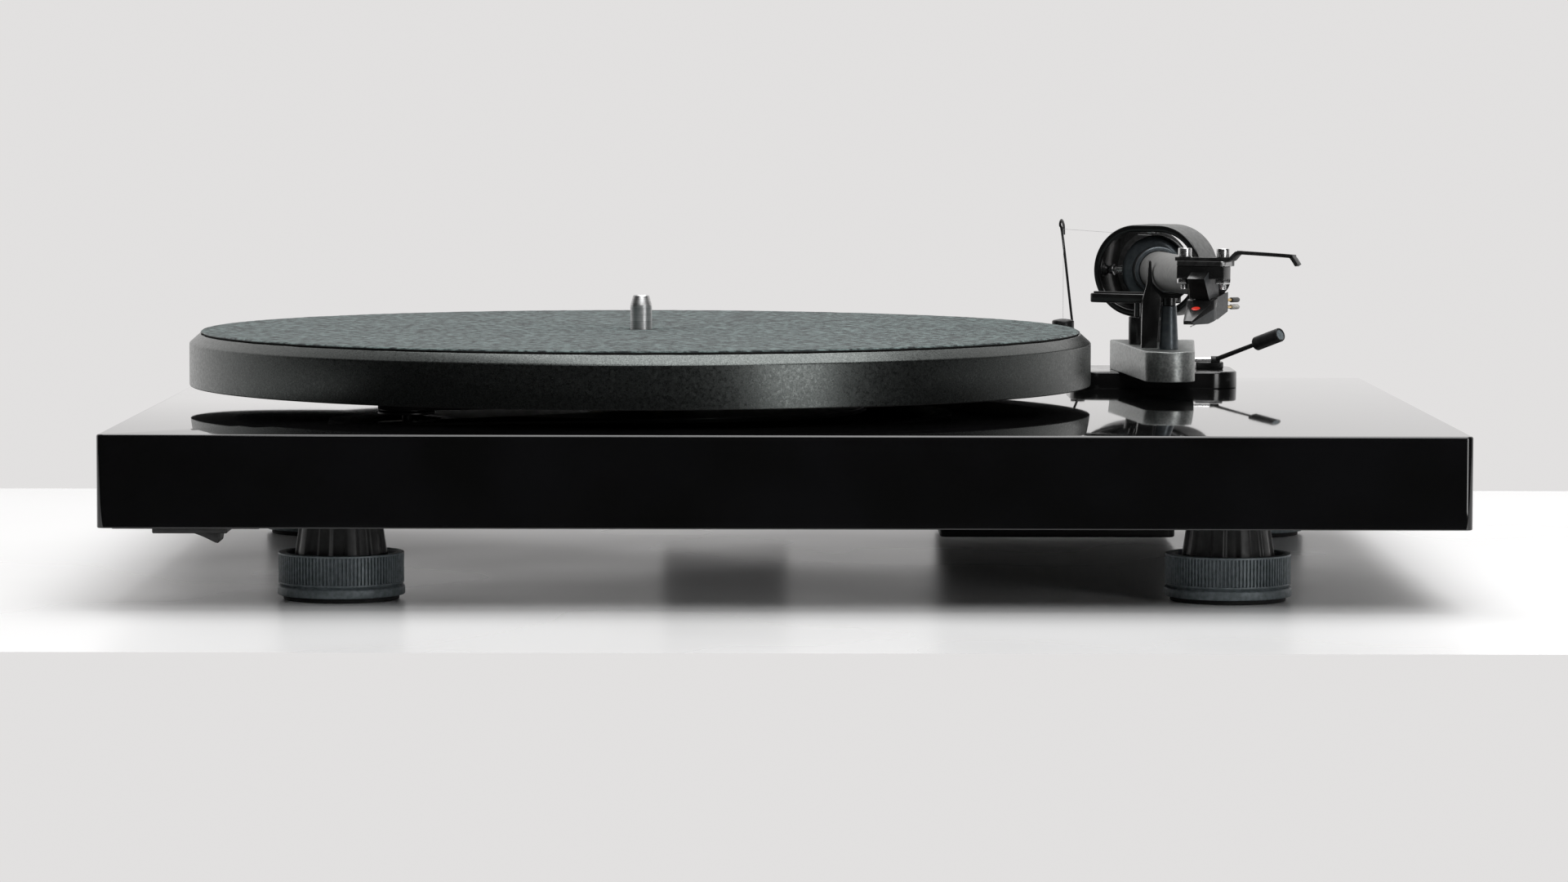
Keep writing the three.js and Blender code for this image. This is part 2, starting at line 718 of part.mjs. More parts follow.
function gimbalInnerRing() {
  const wheel = lathe([
    [0, -INNER_RING.half],
    [INNER_RING.radius - 1.6, -INNER_RING.half],
    [INNER_RING.radius, -INNER_RING.half + 1.8],
    [INNER_RING.radius, INNER_RING.half - 1.8],
    [INNER_RING.radius - 1.6, INNER_RING.half],
    [0, INNER_RING.half],
  ], 32).rotateX(Math.PI / 2);
  const sides = [-1, 1].map((side) => join(
    bar([side * NEEDLE.root, 0, 0], [side * NEEDLE.shoulder, 0, 0], 1.45, 1.45, 16),
    bar([side * (NEEDLE.shoulder - 0.05), 0, 0], [side * NEEDLE.tip, 0, 0], 1.45, 0.08, 16),
  ));
  const wheelInPlace = turned(join(wheel, ...sides), -OFFSET_ANGLE);
  const bush = bar([0, BUSH.half, 0], [0, -BUSH.half, 0], BUSH.radius, BUSH.radius, 28);
  const bore = bar([0, 30, 0], [0, -30, 0], BUSH.bore, BUSH.bore, 28);
  return cut(join(wheelInPlace, turned(bush, TUBE_SKEW)), turned(bore, TUBE_SKEW));
}

function skateStub() {
  const left = -6;
  const up = 12.6;
  const grooves = [11.5, 14.5, 17.5];
  const profile = [[0, RING.half], [1.1, RING.half]];
  for (const groove of grooves) {
    profile.push([1.1, groove - 0.6], [0.7, groove], [1.1, groove + 0.6]);
  }
  profile.push([1.1, 20], [0, 20]);
  const stub = lathe(profile, 12).rotateX(-Math.PI / 2);
  return turned(stub.translate(left, 0, up + 1.1), -OFFSET_ANGLE);
}

// ---------------------------------------------------------------- arm tube and headshell
// Headshell frame: the origin is over the stylus, forward is -Y, right is +X.

const TUBE = { rear: 14, bore: 4.7, thick: 6.8, thin: 5.5, length: 206 };
const HEADSHELL = { bottom: 4.3, top: 5.9, half: 8.2, front: 6.7, side: 13, rear: 20 };
const SCREW = { back: 9.9, side: 6.35, shank: 1.2, head: 2.1, hole: 1.5 };
const TUBE_END = 20.3;

function fromHeadshell(geometry) {
  return turned(geometry, -OFFSET_ANGLE).translate(0, -ARM_REACH, 0);
}

function armTube() {
  const hollow = lathe([
    [0, -TUBE.length],
    [TUBE.thin, -TUBE.length],
    [TUBE.thick, -BUSH.half - 2],
    [TUBE.thick, TUBE.rear],
    [TUBE.bore, TUBE.rear],
    [TUBE.bore, -TUBE.length + 22],
    [0, -TUBE.length + 22],
  ], 32);
  const tube = turned(hollow.rotateX(-Math.PI / 2), TUBE_SKEW);
  const endCut = fromHeadshell(block(-40, 40, -60, TUBE_END, -20, 20));
  const slot = fromHeadshell(block(-4.3, 4.3, -60, HEADSHELL.rear + 6.3, HEADSHELL.bottom - 0.3, 20));
  return cut(tube, endCut, slot);
}

function headshell() {
  const { bottom, top, half, front, side, rear } = HEADSHELL;
  const outline = new THREE.Shape();
  outline.moveTo(-half + 0.8, front);
  outline.lineTo(half - 0.8, front);
  outline.lineTo(half, front + 0.8);
  outline.lineTo(half, side);
  outline.lineTo(4, TUBE_END - 0.4);
  outline.lineTo(4, rear + 6);
  outline.lineTo(-4, rear + 6);
  outline.lineTo(-4, TUBE_END - 0.4);
  outline.lineTo(-half, side);
  outline.lineTo(-half, front + 0.8);
  const plate = slab(outline, bottom, top);
  const holes = [-1, 1].map((sign) => moved(disc(SCREW.hole, 0, 20, 16), sign * SCREW.side, SCREW.back, 0));
  return fromHeadshell(cut(plate, ...holes));
}

const LIFT_THICKNESS = 1.15;

function fingerLift() {
  const low = HEADSHELL.top;
  const thick = LIFT_THICKNESS;
  const rise = 2.2;
  const profile = polygon([
    [-8.6, low],
    [9.6, low],
    [11.8, low + rise],
    [29, low + rise - 0.9],
    [30.8, low + rise - 3.6],
    [31.9, low + rise - 3.0],
    [29.7, low + rise + 0.3],
    [11.4, low + rise + thick],
    [9, low + thick],
    [-8.6, low + thick],
  ]);
  const strip = slabAlongY(profile, SCREW.back - 2.6, SCREW.back + 2.6);
  const trimFront = block(12.2, 40, 0, SCREW.back - 1.7, 0, 20);
  const trimBack = block(12.2, 40, SCREW.back + 1.7, 30, 0, 20);
  const holes = [-1, 1].map((sign) => moved(disc(SCREW.hole, 0, 20, 16), sign * SCREW.side, SCREW.back, 0));
  return fromHeadshell(cut(strip, trimFront, trimBack, ...holes));
}

const MOUNT = { bottom: 0.4, top: HEADSHELL.bottom, half: 7.9, front: 6.9, rear: 12.8 };

function mountingScrew(side) {
  const headBottom = HEADSHELL.top + LIFT_THICKNESS;
  const shank = disc(SCREW.shank, -3, headBottom + 0.1, 16);
  const head = disc(SCREW.head, headBottom, headBottom + 2.8, 24);
  const nut = disc(2.5, MOUNT.bottom - 1.6, MOUNT.bottom - 0.1, 6);
  return fromHeadshell(moved(join(shank, head, nut), side * SCREW.side, SCREW.back, 0));
}

const NECK_HALF = 2.9;
const SLAB_HALF = 4.5;

// A flange under the headshell, and a neck that leans back over the stylus unit to a slab.
function cartridgeBody() {
  const flange = block(-MOUNT.half, MOUNT.half, MOUNT.front, MOUNT.rear, MOUNT.bottom, MOUNT.top);
  const neck = slabAcrossX(polygon([
    [3.4, MOUNT.bottom],
    [MOUNT.front, MOUNT.bottom + 2],
    [MOUNT.rear + 1.4, MOUNT.bottom + 2],
    [15.4, -4.6],
    [10.6, -6.2],
    [10.6, -5.2],
    [7.9, -5.95],
  ]), NECK_HALF);
  const rearSlab = slabAcrossX(polygon([
    [10.6, -5.6],
    [19.2, -3.9],
    [19.2, -9.6],
    [10.6, -12],
  ]), SLAB_HALF);
  const holes = [-1, 1].map((sign) => moved(disc(SCREW.hole, -20, 20, 16), sign * SCREW.side, SCREW.back, 0));
  return fromHeadshell(cut(join(flange, neck, rearSlab), ...holes));
}

// The plug-in stylus unit is a wedge in plan, narrow at the nose.
function stylusUnit() {
  const plan = slab(polygon([
    [-1.4, -2.8],
    [1.4, -2.8],
    [SLAB_HALF, 8],
    [SLAB_HALF, 12],
    [-SLAB_HALF, 12],
    [-SLAB_HALF, 8],
  ]), -16, -2);
  const profile = slabAcrossX(polygon([
    [-2.8, -12.6],
    [7.8, -6.4],
    [10.3, -5.7],
    [10.3, -12.1],
    [5.2, -13.5],
    [-1.6, -13.7],
    [-2.8, -13.1],
  ]), 6);
  return fromHeadshell(toGeometry(toSolid(plan).intersect(toSolid(profile))));
}

function cantilever() {
  const rod = bar([0, 3.6, -13.78], [0, -0.3, -14.3], 0.14, 0.12, 8);
  const tip = bar([0, 0, -14.25], [0, 0, -STYLUS_DROP], 0.12, 0.03, 8);
  return fromHeadshell(join(rod, tip));
}

function cartridgePins() {
  const carrier = block(-4, 4, 19.2, 20, -9.3, -5.5);
  const pins = [];
  for (const x of [-3.1, 3.1]) {
    for (const z of [-8.5, -6.3]) {
      pins.push(bar([x, 19.6, z], [x, 26.6, z], 0.5, 0.5, 10));
    }
  }
  return fromHeadshell(join(carrier, ...pins));
}

// Four fine leads leave the tube's end together and drop behind the cartridge.
function leadBundle() {
  const run = [
    [-5.9, 15.2, -0.5],
    [-6.4, 15.6, -4.5],
    [-6.8, 18.5, -7.4],
    [-6.6, 26, -8],
    [-3.6, 30.4, -7.6],
  ];
  return fromHeadshell(wire(run, 0.8, 14));
}

// ---------------------------------------------------------------- counterweight

const STUB = { radius: 3.2, end: 52 };
const WEIGHT = { radius: 14.5, front: 26, back: 46, dial: 4 };

function counterweightStub() {
  const stub = lathe([
    [0, TUBE.rear - 8],
    [TUBE.bore - LOOSE_GAP, TUBE.rear - 8],
    [TUBE.bore - LOOSE_GAP, TUBE.rear + 0.3],
    [TUBE.thick, TUBE.rear + 0.3],
    [TUBE.thick, TUBE.rear + 3],
    [STUB.radius, TUBE.rear + 4],
    [STUB.radius, STUB.end],
    [0, STUB.end],
  ], 24);
  return turned(stub.rotateX(-Math.PI / 2), TUBE_SKEW);
}

function weightDisc(front, back, radius) {
  const bore = STUB.radius + RUNNING_GAP;
  const ring = latheRing([
    [bore, front],
    [radius - 0.7, front],
    [radius, front + 0.7],
    [radius, back - 0.7],
    [radius - 0.7, back],
    [bore, back],
  ], 32);
  return turned(ring.rotateX(-Math.PI / 2), TUBE_SKEW);
}

function addTonearm(root) {
  const yaw = new THREE.Group();
  yaw.position.set(PIVOT.x, PIVOT.y, PIVOT.z);
  yaw.rotation.z = REST_YAW;
  root.add(yaw);
  node(yaw, 'gimbal_ring', gimbalRing(), FINISH.pianoBlack);
  node(yaw, 'pivot_cup_left', pivotCup(-1), FINISH.chrome);
  node(yaw, 'pivot_cup_right', pivotCup(1), FINISH.chrome);
  node(yaw, 'anti_skate_stub', skateStub(), FINISH.chrome);

  const pitch = new THREE.Group();
  const needleAxis = new THREE.Vector3(Math.cos(OFFSET_ANGLE), -Math.sin(OFFSET_ANGLE), 0);
  pitch.setRotationFromAxisAngle(needleAxis, -REST_PITCH);
  yaw.add(pitch);
  node(pitch, 'gimbal_inner_ring', gimbalInnerRing(), FINISH.slateMetal);
  node(pitch, 'arm_tube', armTube(), FINISH.greyTube);
  node(pitch, 'headshell', headshell(), FINISH.darkMetal);
  node(pitch, 'finger_lift', fingerLift(), FINISH.darkMetal);
  node(pitch, 'headshell_screw_left', mountingScrew(-1), FINISH.chrome);
  node(pitch, 'headshell_screw_right', mountingScrew(1), FINISH.chrome);
  node(pitch, 'cartridge_body', cartridgeBody(), FINISH.blackPlastic);
  node(pitch, 'stylus_unit', stylusUnit(), FINISH.cartridgeGrey);
  node(pitch, 'cantilever', cantilever(), FINISH.aluminium);
  node(pitch, 'cartridge_pins', cartridgePins(), FINISH.brass);
  node(pitch, 'lead_bundle', leadBundle(), FINISH.rubber);
  node(pitch, 'counterweight_stub', counterweightStub(), FINISH.aluminium);
  node(pitch, 'counterweight', weightDisc(WEIGHT.front, WEIGHT.back, WEIGHT.radius), FINISH.darkMetal);
}

// The nylon thread runs from the weight up to the wire's eye, then across to the stub.
function skateThread() {
  const eye = [SKATE_WEIGHT.x, SKATE_WEIGHT.y, TOP + 55.2];
  return join(
    bar([SKATE_WEIGHT.x, SKATE_WEIGHT.y, SKATE_WEIGHT.top + 0.4], eye, 0.2, 0.2, 8),
    bar(eye, [131.3, 119.2, PIVOT.z + 11.6], 0.2, 0.2, 8),
  );
}

// ---------------------------------------------------------------- assembly

const turntable = new THREE.Group();
node(turntable, 'plinth', plinth(), FINISH.pianoBlack);
addFeet(turntable);
addDrive(turntable);
addElectrics(turntable);
addArmBase(turntable);
addTonearm(turntable);
node(turntable, 'anti_skate_thread', skateThread(), FINISH.nylon);

export default turntable;
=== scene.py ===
"""Looks for a belt-driven turntable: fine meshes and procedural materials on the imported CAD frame.

Lengths below are millimetres in the CAD frame, and become metres as each mesh is made.
"""

import math
import random

import bmesh
import bpy
from mathutils import Matrix, Vector


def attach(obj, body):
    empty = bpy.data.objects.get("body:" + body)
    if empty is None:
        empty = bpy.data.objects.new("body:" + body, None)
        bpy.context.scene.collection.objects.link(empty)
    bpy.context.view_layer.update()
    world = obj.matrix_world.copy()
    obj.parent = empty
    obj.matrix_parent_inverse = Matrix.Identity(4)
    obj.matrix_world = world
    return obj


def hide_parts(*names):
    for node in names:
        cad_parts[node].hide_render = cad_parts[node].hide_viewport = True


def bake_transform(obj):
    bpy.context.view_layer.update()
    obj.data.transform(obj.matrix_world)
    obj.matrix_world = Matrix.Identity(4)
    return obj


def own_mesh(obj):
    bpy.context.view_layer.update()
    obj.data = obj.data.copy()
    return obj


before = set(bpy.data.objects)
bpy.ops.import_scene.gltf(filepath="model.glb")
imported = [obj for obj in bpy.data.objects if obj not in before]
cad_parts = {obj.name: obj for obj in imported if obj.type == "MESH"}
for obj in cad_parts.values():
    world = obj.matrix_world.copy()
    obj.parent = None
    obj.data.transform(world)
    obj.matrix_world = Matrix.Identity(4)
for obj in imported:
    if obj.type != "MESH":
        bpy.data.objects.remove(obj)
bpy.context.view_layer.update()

MM = 0.001
TAU = 2 * math.pi

# ---------------------------------------------------------------- sizes shared with the CAD

FOOT_HEIGHT = 25.5
TOP = 54
PLINTH = {"width": 417, "depth": 320, "corner": 2.5, "edge": 0.7}
SPINDLE = (-48.1, 10)
BEARING_BORE = 3.86
PULLEY = (-120, -80)
SUB_PLATTER = {"radius": 74.5, "bottom": 56.4, "top": 59.9}
SPEED_RATIO = 9
PULLEY_RADIUS = SUB_PLATTER["radius"] / SPEED_RATIO
PLATTER = {"radius": 150, "bottom": 60.2, "shoulder": 74.2, "top": 77.2, "top_radius": 146.6}
MAT = {"radius": 146.5, "bottom": 77.2, "top": 78.3, "hole": 5.3}
SWITCH = (-182, -135, 24)

PIVOT = (130, 100, 94.9)
ARM_REACH = 218.5
OFFSET_ANGLE = math.radians(25.3)
REST_YAW = math.radians(-1.11)
REST_PITCH = math.radians(1.37)
TUBE_SKEW = math.radians(2.13)
PLATE_TOP = TOP + 5.9
BLOCK_TOP = TOP + 16.2
COLUMN_TOP = 76.5
REST_POST = (130.3, 40)
LIFT_GUIDE = (122.4, 75)
CUE_AXLE_Y = 102
CUE_AXLE_Z = TOP + 9.5
SCREW_SIDE = 6.35
SCREW_BACK = 9.9

FEET = {
    "front_left": (-138, -115),
    "front_right": (138, -115),
    "rear_left": (-165, 127),
    "rear_right": (165, 127),
}


def at(x, y, z=0):
    return Matrix.Translation((x, y, z))


YAW_FRAME = at(*PIVOT) @ Matrix.Rotation(REST_YAW, 4, "Z")
NEEDLE_AXIS = Vector((math.cos(OFFSET_ANGLE), -math.sin(OFFSET_ANGLE), 0))
PITCH_FRAME = YAW_FRAME @ Matrix.Rotation(-REST_PITCH, 4, NEEDLE_AXIS)
TURN_TO_HEADSHELL = Matrix.Rotation(-OFFSET_ANGLE, 4, "Z")
RING_FRAME = YAW_FRAME @ TURN_TO_HEADSHELL
INNER_FRAME = PITCH_FRAME @ TURN_TO_HEADSHELL
TUBE_FRAME = PITCH_FRAME @ Matrix.Rotation(TUBE_SKEW, 4, "Z")
SHELL_FRAME = PITCH_FRAME @ at(0, -ARM_REACH) @ TURN_TO_HEADSHELL
LIE_ALONG_Y = Matrix.Rotation(-math.pi / 2, 4, "X")
STAND_UP = Matrix.Rotation(math.pi / 2, 4, "X")
ALONG_TUBE = TUBE_FRAME @ LIE_ALONG_Y
TO_SHELL = SHELL_FRAME.inverted()

# ---------------------------------------------------------------- mesh helpers


def piece(name, verts, faces, place=Matrix(), sharp=32):
    """A mesh given in millimetres, moved to its place in the CAD frame."""
    mesh = bpy.data.meshes.new(name)
    mesh.from_pydata([place @ Vector(v) * MM for v in verts], [], faces)
    mesh.validate()
    obj = bpy.data.objects.new(name, mesh)
    bpy.context.collection.objects.link(obj)
    smooth(obj, sharp)
    return obj


def smooth(obj, sharp=32):
    for polygon in obj.data.polygons:
        polygon.use_smooth = True
    obj.data.set_sharp_from_angle(angle=math.radians(sharp))


def bake(obj, sharp=32):
    """Turns the object's modifiers into its mesh."""
    bpy.context.view_layer.update()
    depsgraph = bpy.context.evaluated_depsgraph_get()
    mesh = bpy.data.meshes.new_from_object(obj.evaluated_get(depsgraph))
    obj.modifiers.clear()
    obj.data = mesh
    smooth(obj, sharp)
    return obj


def combine(obj, others, operation):
    for other in others:
        modifier = obj.modifiers.new(operation, "BOOLEAN")
        modifier.operation = operation
        modifier.solver = "EXACT"
        modifier.object = other
        bake(obj)
        bpy.data.objects.remove(other)
    return obj


def cut(obj, *cutters):
    return combine(obj, cutters, "DIFFERENCE")


def join(obj, *others):
    return combine(obj, others, "UNION")


def ease(obj, width, segments=3, angle=30, sharp=40):
    """Rounds every edge sharper than angle."""
    modifier = obj.modifiers.new("ease", "BEVEL")
    modifier.width = width * MM
    modifier.segments = segments
    modifier.limit_method = "ANGLE"
    modifier.angle_limit = math.radians(angle)
    modifier.harden_normals = False
    modifier.use_clamp_overlap = True
    return bake(obj, sharp)


def fillet(points, radius, closed=False, steps=4):
    """Rounds the corners of a profile of (radius, height) or (x, y) points."""
    count = len(points)
    out = []
    for i, point in enumerate(points):
        if not closed and i in (0, count - 1):
            out.append(tuple(point))
            continue
        here = Vector(point)
        before = Vector(points[i - 1]) - here
        after = Vector(points[(i + 1) % count]) - here
        if before.length < 1e-6 or after.length < 1e-6 or before.angle(after) > math.radians(172):
            out.append(tuple(point))
            continue
        reach = min(radius, 0.45 * before.length, 0.45 * after.length)
        start = here + before.normalized() * reach
        end = here + after.normalized() * reach
        for k in range(steps + 1):
            t = k / steps
            out.append(tuple(start * (1 - t) ** 2 + here * (2 * t * (1 - t)) + end * t * t))
    return out


def revolve(name, profile, place=Matrix(), segments=96, closed=False, ripple=None, sharp=32):
    """Turns a profile about Z. ripple(radius, height, angle) may change the radius."""
    verts, faces, rings = [], [], []
    for radius, height in profile:
        if radius < 1e-6:
            rings.append([len(verts)])
            verts.append((0, 0, height))
            continue
        ring = []
        for k in range(segments):
            angle = TAU * k / segments
            r = ripple(radius, height, angle) if ripple else radius
            ring.append(len(verts))
            verts.append((r * math.cos(angle), r * math.sin(angle), height))
        rings.append(ring)
    pairs = list(zip(rings, rings[1:]))
    if closed:
        pairs.append((rings[-1], rings[0]))
    for low, high in pairs:
        faces += band(low, high)
    return piece(name, verts, faces, place, sharp)


def band(low, high):
    count = max(len(low), len(high))
    if count == 1:
        return []
    faces = []
    for k in range(count):
        n = (k + 1) % count
        if len(low) == 1:
            faces.append((low[0], high[n], high[k]))
        elif len(high) == 1:
            faces.append((low[k], low[n], high[0]))
        else:
            faces.append((low[k], low[n], high[n], high[k]))
    return faces


def loft(name, rings, place=Matrix(), sharp=32):
    """Skins a row of outlines that have the same number of points, and caps both ends."""
    count = len(rings[0])
    verts = [point for ring in rings for point in ring]
    index = [[r * count + k for k in range(count)] for r in range(len(rings))]
    faces = [face for low, high in zip(index, index[1:]) for face in band(low, high)]
    faces.append(tuple(reversed(index[0])))
    faces.append(tuple(index[-1]))
    return piece(name, verts, faces, place, sharp)


def closed_loft(name, loops, place=Matrix(), flip=False):
    """Skins a closed row of outlines, as for a belt or a housing that is open both ways."""
    count = len(loops[0])
    verts = [point for loop in loops for point in loop]
    index = [[r * count + k for k in range(count)] for r in range(len(loops))]
    faces = []
    for low, high in zip(index, index[1:] + index[:1]):
        faces += band(high, low) if flip else band(low, high)
    return piece(name, verts, faces, place)


def inset(outline, distance):
    """Moves a counter-clockwise outline inwards."""
    out = []
    count = len(outline)
    for i, (x, y) in enumerate(outline):
        a = Vector(outline[i - 1])
        b = Vector((x, y))
        c = Vector(outline[(i + 1) % count])
        before = (b - a).normalized()
        after = (c - b).normalized()
        normal = Vector((-before.y - after.y, before.x + after.x))
        normal.normalize()
        spread = max(0.3, normal.dot(Vector((-before.y, before.x))))
        moved = b + normal * (distance / spread)
        out.append((moved.x, moved.y))
    return out


def prism(name, outline, low, high, edge=0.0, place=Matrix(), steps=4, sharp=32, low_edge=None):
    """An outline pushed up, with rounded rims."""
    low_edge = edge if low_edge is None else low_edge
    rings = []
    for k in range(steps + 1 if low_edge else 1):
        turn = math.pi / 2 * k / steps
        line = inset(outline, low_edge * (1 - math.sin(turn))) if low_edge else outline
        rings.append([(x, y, low + low_edge * (1 - math.cos(turn))) for x, y in line])
    for k in range(steps + 1 if edge else 1):
        turn = math.pi / 2 * k / steps
        line = inset(outline, edge * (1 - math.cos(turn))) if edge else outline
        rings.append([(x, y, high - edge * (1 - math.sin(turn))) for x, y in line])
    return loft(name, rings, place, sharp)


def rounded_rectangle(width, depth, radius, x=0.0, y=0.0, steps=8):
    points = []
    corners = ((1, -1, -90), (1, 1, 0), (-1, 1, 90), (-1, -1, 180))
    for sx, sy, start in corners:
        cx = x + sx * (width / 2 - radius)
        cy = y + sy * (depth / 2 - radius)
        for k in range(steps + 1):
            angle = math.radians(start + 90 * k / steps)
            points.append((cx + radius * math.cos(angle), cy + radius * math.sin(angle)))
    return points


def circle(radius, x=0.0, y=0.0, count=48):
    return [
        (x + radius * math.cos(TAU * k / count), y + radius * math.sin(TAU * k / count))
        for k in range(count)
    ]


def box_outline(x0, x1, y0, y1):
    return [(x0, y0), (x1, y0), (x1, y1), (x0, y1)]


def block(name, x0, x1, y0, y1, z0, z1, edge=0.3, place=Matrix(), steps=3):
    radius = max(edge, 0.05)
    outline = rounded_rectangle(x1 - x0, y1 - y0, radius, (x0 + x1) / 2, (y0 + y1) / 2, steps)
    return prism(name, outline, z0, z1, edge * 0.9, place, steps)


def smooth_path(points, per_span=8):
    """A Catmull-Rom curve through the points."""
    vectors = [Vector(p) for p in points]
    out = []
    for i in range(len(vectors) - 1):
        p1, p2 = vectors[i], vectors[i + 1]
        p0 = vectors[i - 1] if i else p1 * 2 - p2
        p3 = vectors[i + 2] if i + 2 < len(vectors) else p2 * 2 - p1
        for k in range(per_span):
            t = k / per_span
            out.append(
                0.5
                * (
                    2 * p1
                    + (p2 - p0) * t
                    + (2 * p0 - 5 * p1 + 4 * p2 - p3) * t * t
                    + (3 * p1 - p0 - 3 * p2 + p3) * t**3
                )
            )
    out.append(vectors[-1])
    return out


def sweep(name, path, radius, place=Matrix(), sides=12, sharp=40):
    """A round wire along a path. radius is a number, or one per point."""
    path = [Vector(p) for p in path]
    radii = radius if hasattr(radius, "__len__") else [radius] * len(path)
    heading = (path[1] - path[0]).normalized()
    across = heading.orthogonal().normalized()
    rings = []
    for i, point in enumerate(path):
        ahead = path[min(i + 1, len(path) - 1)] - path[max(i - 1, 0)]
        heading = ahead.normalized()
        across = (across - heading * across.dot(heading)).normalized()
        other = heading.cross(across)
        ring = []
        for k in range(sides):
            angle = TAU * k / sides
            ring.append(point + (across * math.cos(angle) + other * math.sin(angle)) * radii[i])
        rings.append(ring)
    return loft(name, rings, place, sharp)


def rod(name, start, end, profile, place=Matrix(), segments=32, closed=False):
    """Turns a profile of (radius, distance from start) about the line from start to end."""
    start, end = Vector(start), Vector(end)
    turn = (end - start).to_track_quat("Z", "Y").to_matrix().to_4x4()
    return revolve(name, profile, place @ Matrix.Translation(start) @ turn, segments, closed)


def bar_profile(radius, length, edge=0.2, end_radius=None):
    end_radius = radius if end_radius is None else end_radius
    return fillet([(0, 0), (radius, 0), (end_radius, length), (0, length)], edge)


# ---------------------------------------------------------------- materials


def set_inputs(node, values):
    for key, value in values.items():
        node.inputs[key].default_value = value


class Paint:
    """A small wrapper round one material's node tree."""

    def __init__(self, name, color, roughness, metallic=0.0, coat=0.0, sheen=0.0):
        self.material = bpy.data.materials.new(name)
        self.material.use_nodes = True
        self.tree = self.material.node_tree
        self.shader = self.tree.nodes["Principled BSDF"]
        values = {
            "Base Color": (*color, 1),
            "Roughness": roughness,
            "Metallic": metallic,
            "Coat Weight": coat,
            "Coat Roughness": 0.03,
            "Sheen Weight": sheen,
            "Sheen Roughness": 0.45,
            "IOR": 1.5,
        }
        set_inputs(self.shader, values)
        self.material.diffuse_color = (*color, 1)
        self.coordinates = self.tree.nodes.new("ShaderNodeTexCoord").outputs["Object"]
        self.last_normal = None

    def link(self, a, b):
        self.tree.links.new(a, b)

    def stretched(self, scale):
        mapping = self.tree.nodes.new("ShaderNodeMapping")
        mapping.inputs["Scale"].default_value = scale
        self.link(self.coordinates, mapping.inputs["Vector"])
        return mapping.outputs["Vector"]

    def noise(self, scale, detail=2.0, stretch=None):
        """Noise with about scale features to the metre."""
        node = self.tree.nodes.new("ShaderNodeTexNoise")
        set_inputs(node, {"Scale": scale, "Detail": detail})
        self.link(self.stretched(stretch) if stretch else self.coordinates, node.inputs["Vector"])
        return node.outputs["Fac"]

    def ramp(self, value, low, high, at_low=0.35, at_high=0.65):
        node = self.tree.nodes.new("ShaderNodeValToRGB")
        stops = ((at_low, low), (at_high, high))
        for stop, (position, color) in zip(node.color_ramp.elements, stops):
            stop.position = position
            stop.color = (*color, 1)
        self.link(value, node.inputs["Fac"])
        return node.outputs["Color"]

    def color(self, value, low, high, at_low=0.35, at_high=0.65):
        self.link(self.ramp(value, low, high, at_low, at_high), self.shader.inputs["Base Color"])
        return self

    def rough(self, value, low, high):
        node = self.tree.nodes.new("ShaderNodeMapRange")
        set_inputs(node, {"From Min": 0.3, "From Max": 0.7, "To Min": low, "To Max": high})
        self.link(value, node.inputs["Value"])
        self.link(node.outputs["Result"], self.shader.inputs["Roughness"])
        return self

    def bump(self, value, strength, distance=0.0002):
        node = self.tree.nodes.new("ShaderNodeBump")
        set_inputs(node, {"Strength": strength, "Distance": distance})
        self.link(value, node.inputs["Height"])
        if self.last_normal:
            self.link(self.last_normal, node.inputs["Normal"])
        self.last_normal = node.outputs["Normal"]
        self.link(self.last_normal, self.shader.inputs["Normal"])
        return self


def grey(value):
    return (value, value, value)


def finish(name, base, roughness, color, rough=None, bump=None, **shader):
    """A material whose colour, roughness and bump each wander with a noise of their own.

    color and rough are (noise scale, noise detail, low, high).
    bump is (noise scale, noise detail, strength, distance).
    """
    paint = Paint(name, base, roughness, **shader)
    scale, detail, low, high = color
    paint.color(paint.noise(scale, detail), low, high)
    if rough:
        scale, detail, low, high = rough
        paint.rough(paint.noise(scale, detail), low, high)
    if bump:
        scale, detail, strength, distance = bump
        paint.bump(paint.noise(scale, detail), strength, distance)
    return paint.material


def platter_metal():
    paint = Paint("platter_metal", grey(0.1), 0.3, metallic=0.95)
    paint.color(paint.noise(2400, 2), (0.055, 0.06, 0.058), (0.115, 0.124, 0.12), 0.34, 0.68)
    paint.rough(paint.noise(900, 3), 0.24, 0.36)
    return paint.bump(paint.noise(2600, 1), 0.1, 0.00006).material


def felt_cloth():
    paint = Paint("felt", (0.1, 0.125, 0.12), 0.95, sheen=0.25)
    fibres = paint.noise(430, 8)
    paint.color(fibres, (0.002, 0.008, 0.009), (0.125, 0.17, 0.165), 0.42, 0.62)
    paint.bump(fibres, 0.8, 0.0008)
    return paint.bump(paint.noise(220, 4), 0.25, 0.0006).material


def turned_aluminium():
    paint = Paint("turned_aluminium", grey(0.62), 0.36, metallic=1.0)
    lines = paint.noise(60, 3, stretch=(1, 1, 70))
    paint.color(lines, grey(0.52), grey(0.72))
    paint.rough(paint.noise(500, 3), 0.32, 0.44)
    return paint.bump(lines, 0.12, 0.00006).material


def lead_coat(name, color):
    lighter = tuple(1.25 * c + 0.01 for c in color)
    return finish(name, color, 0.45, (900, 2, color, lighter))


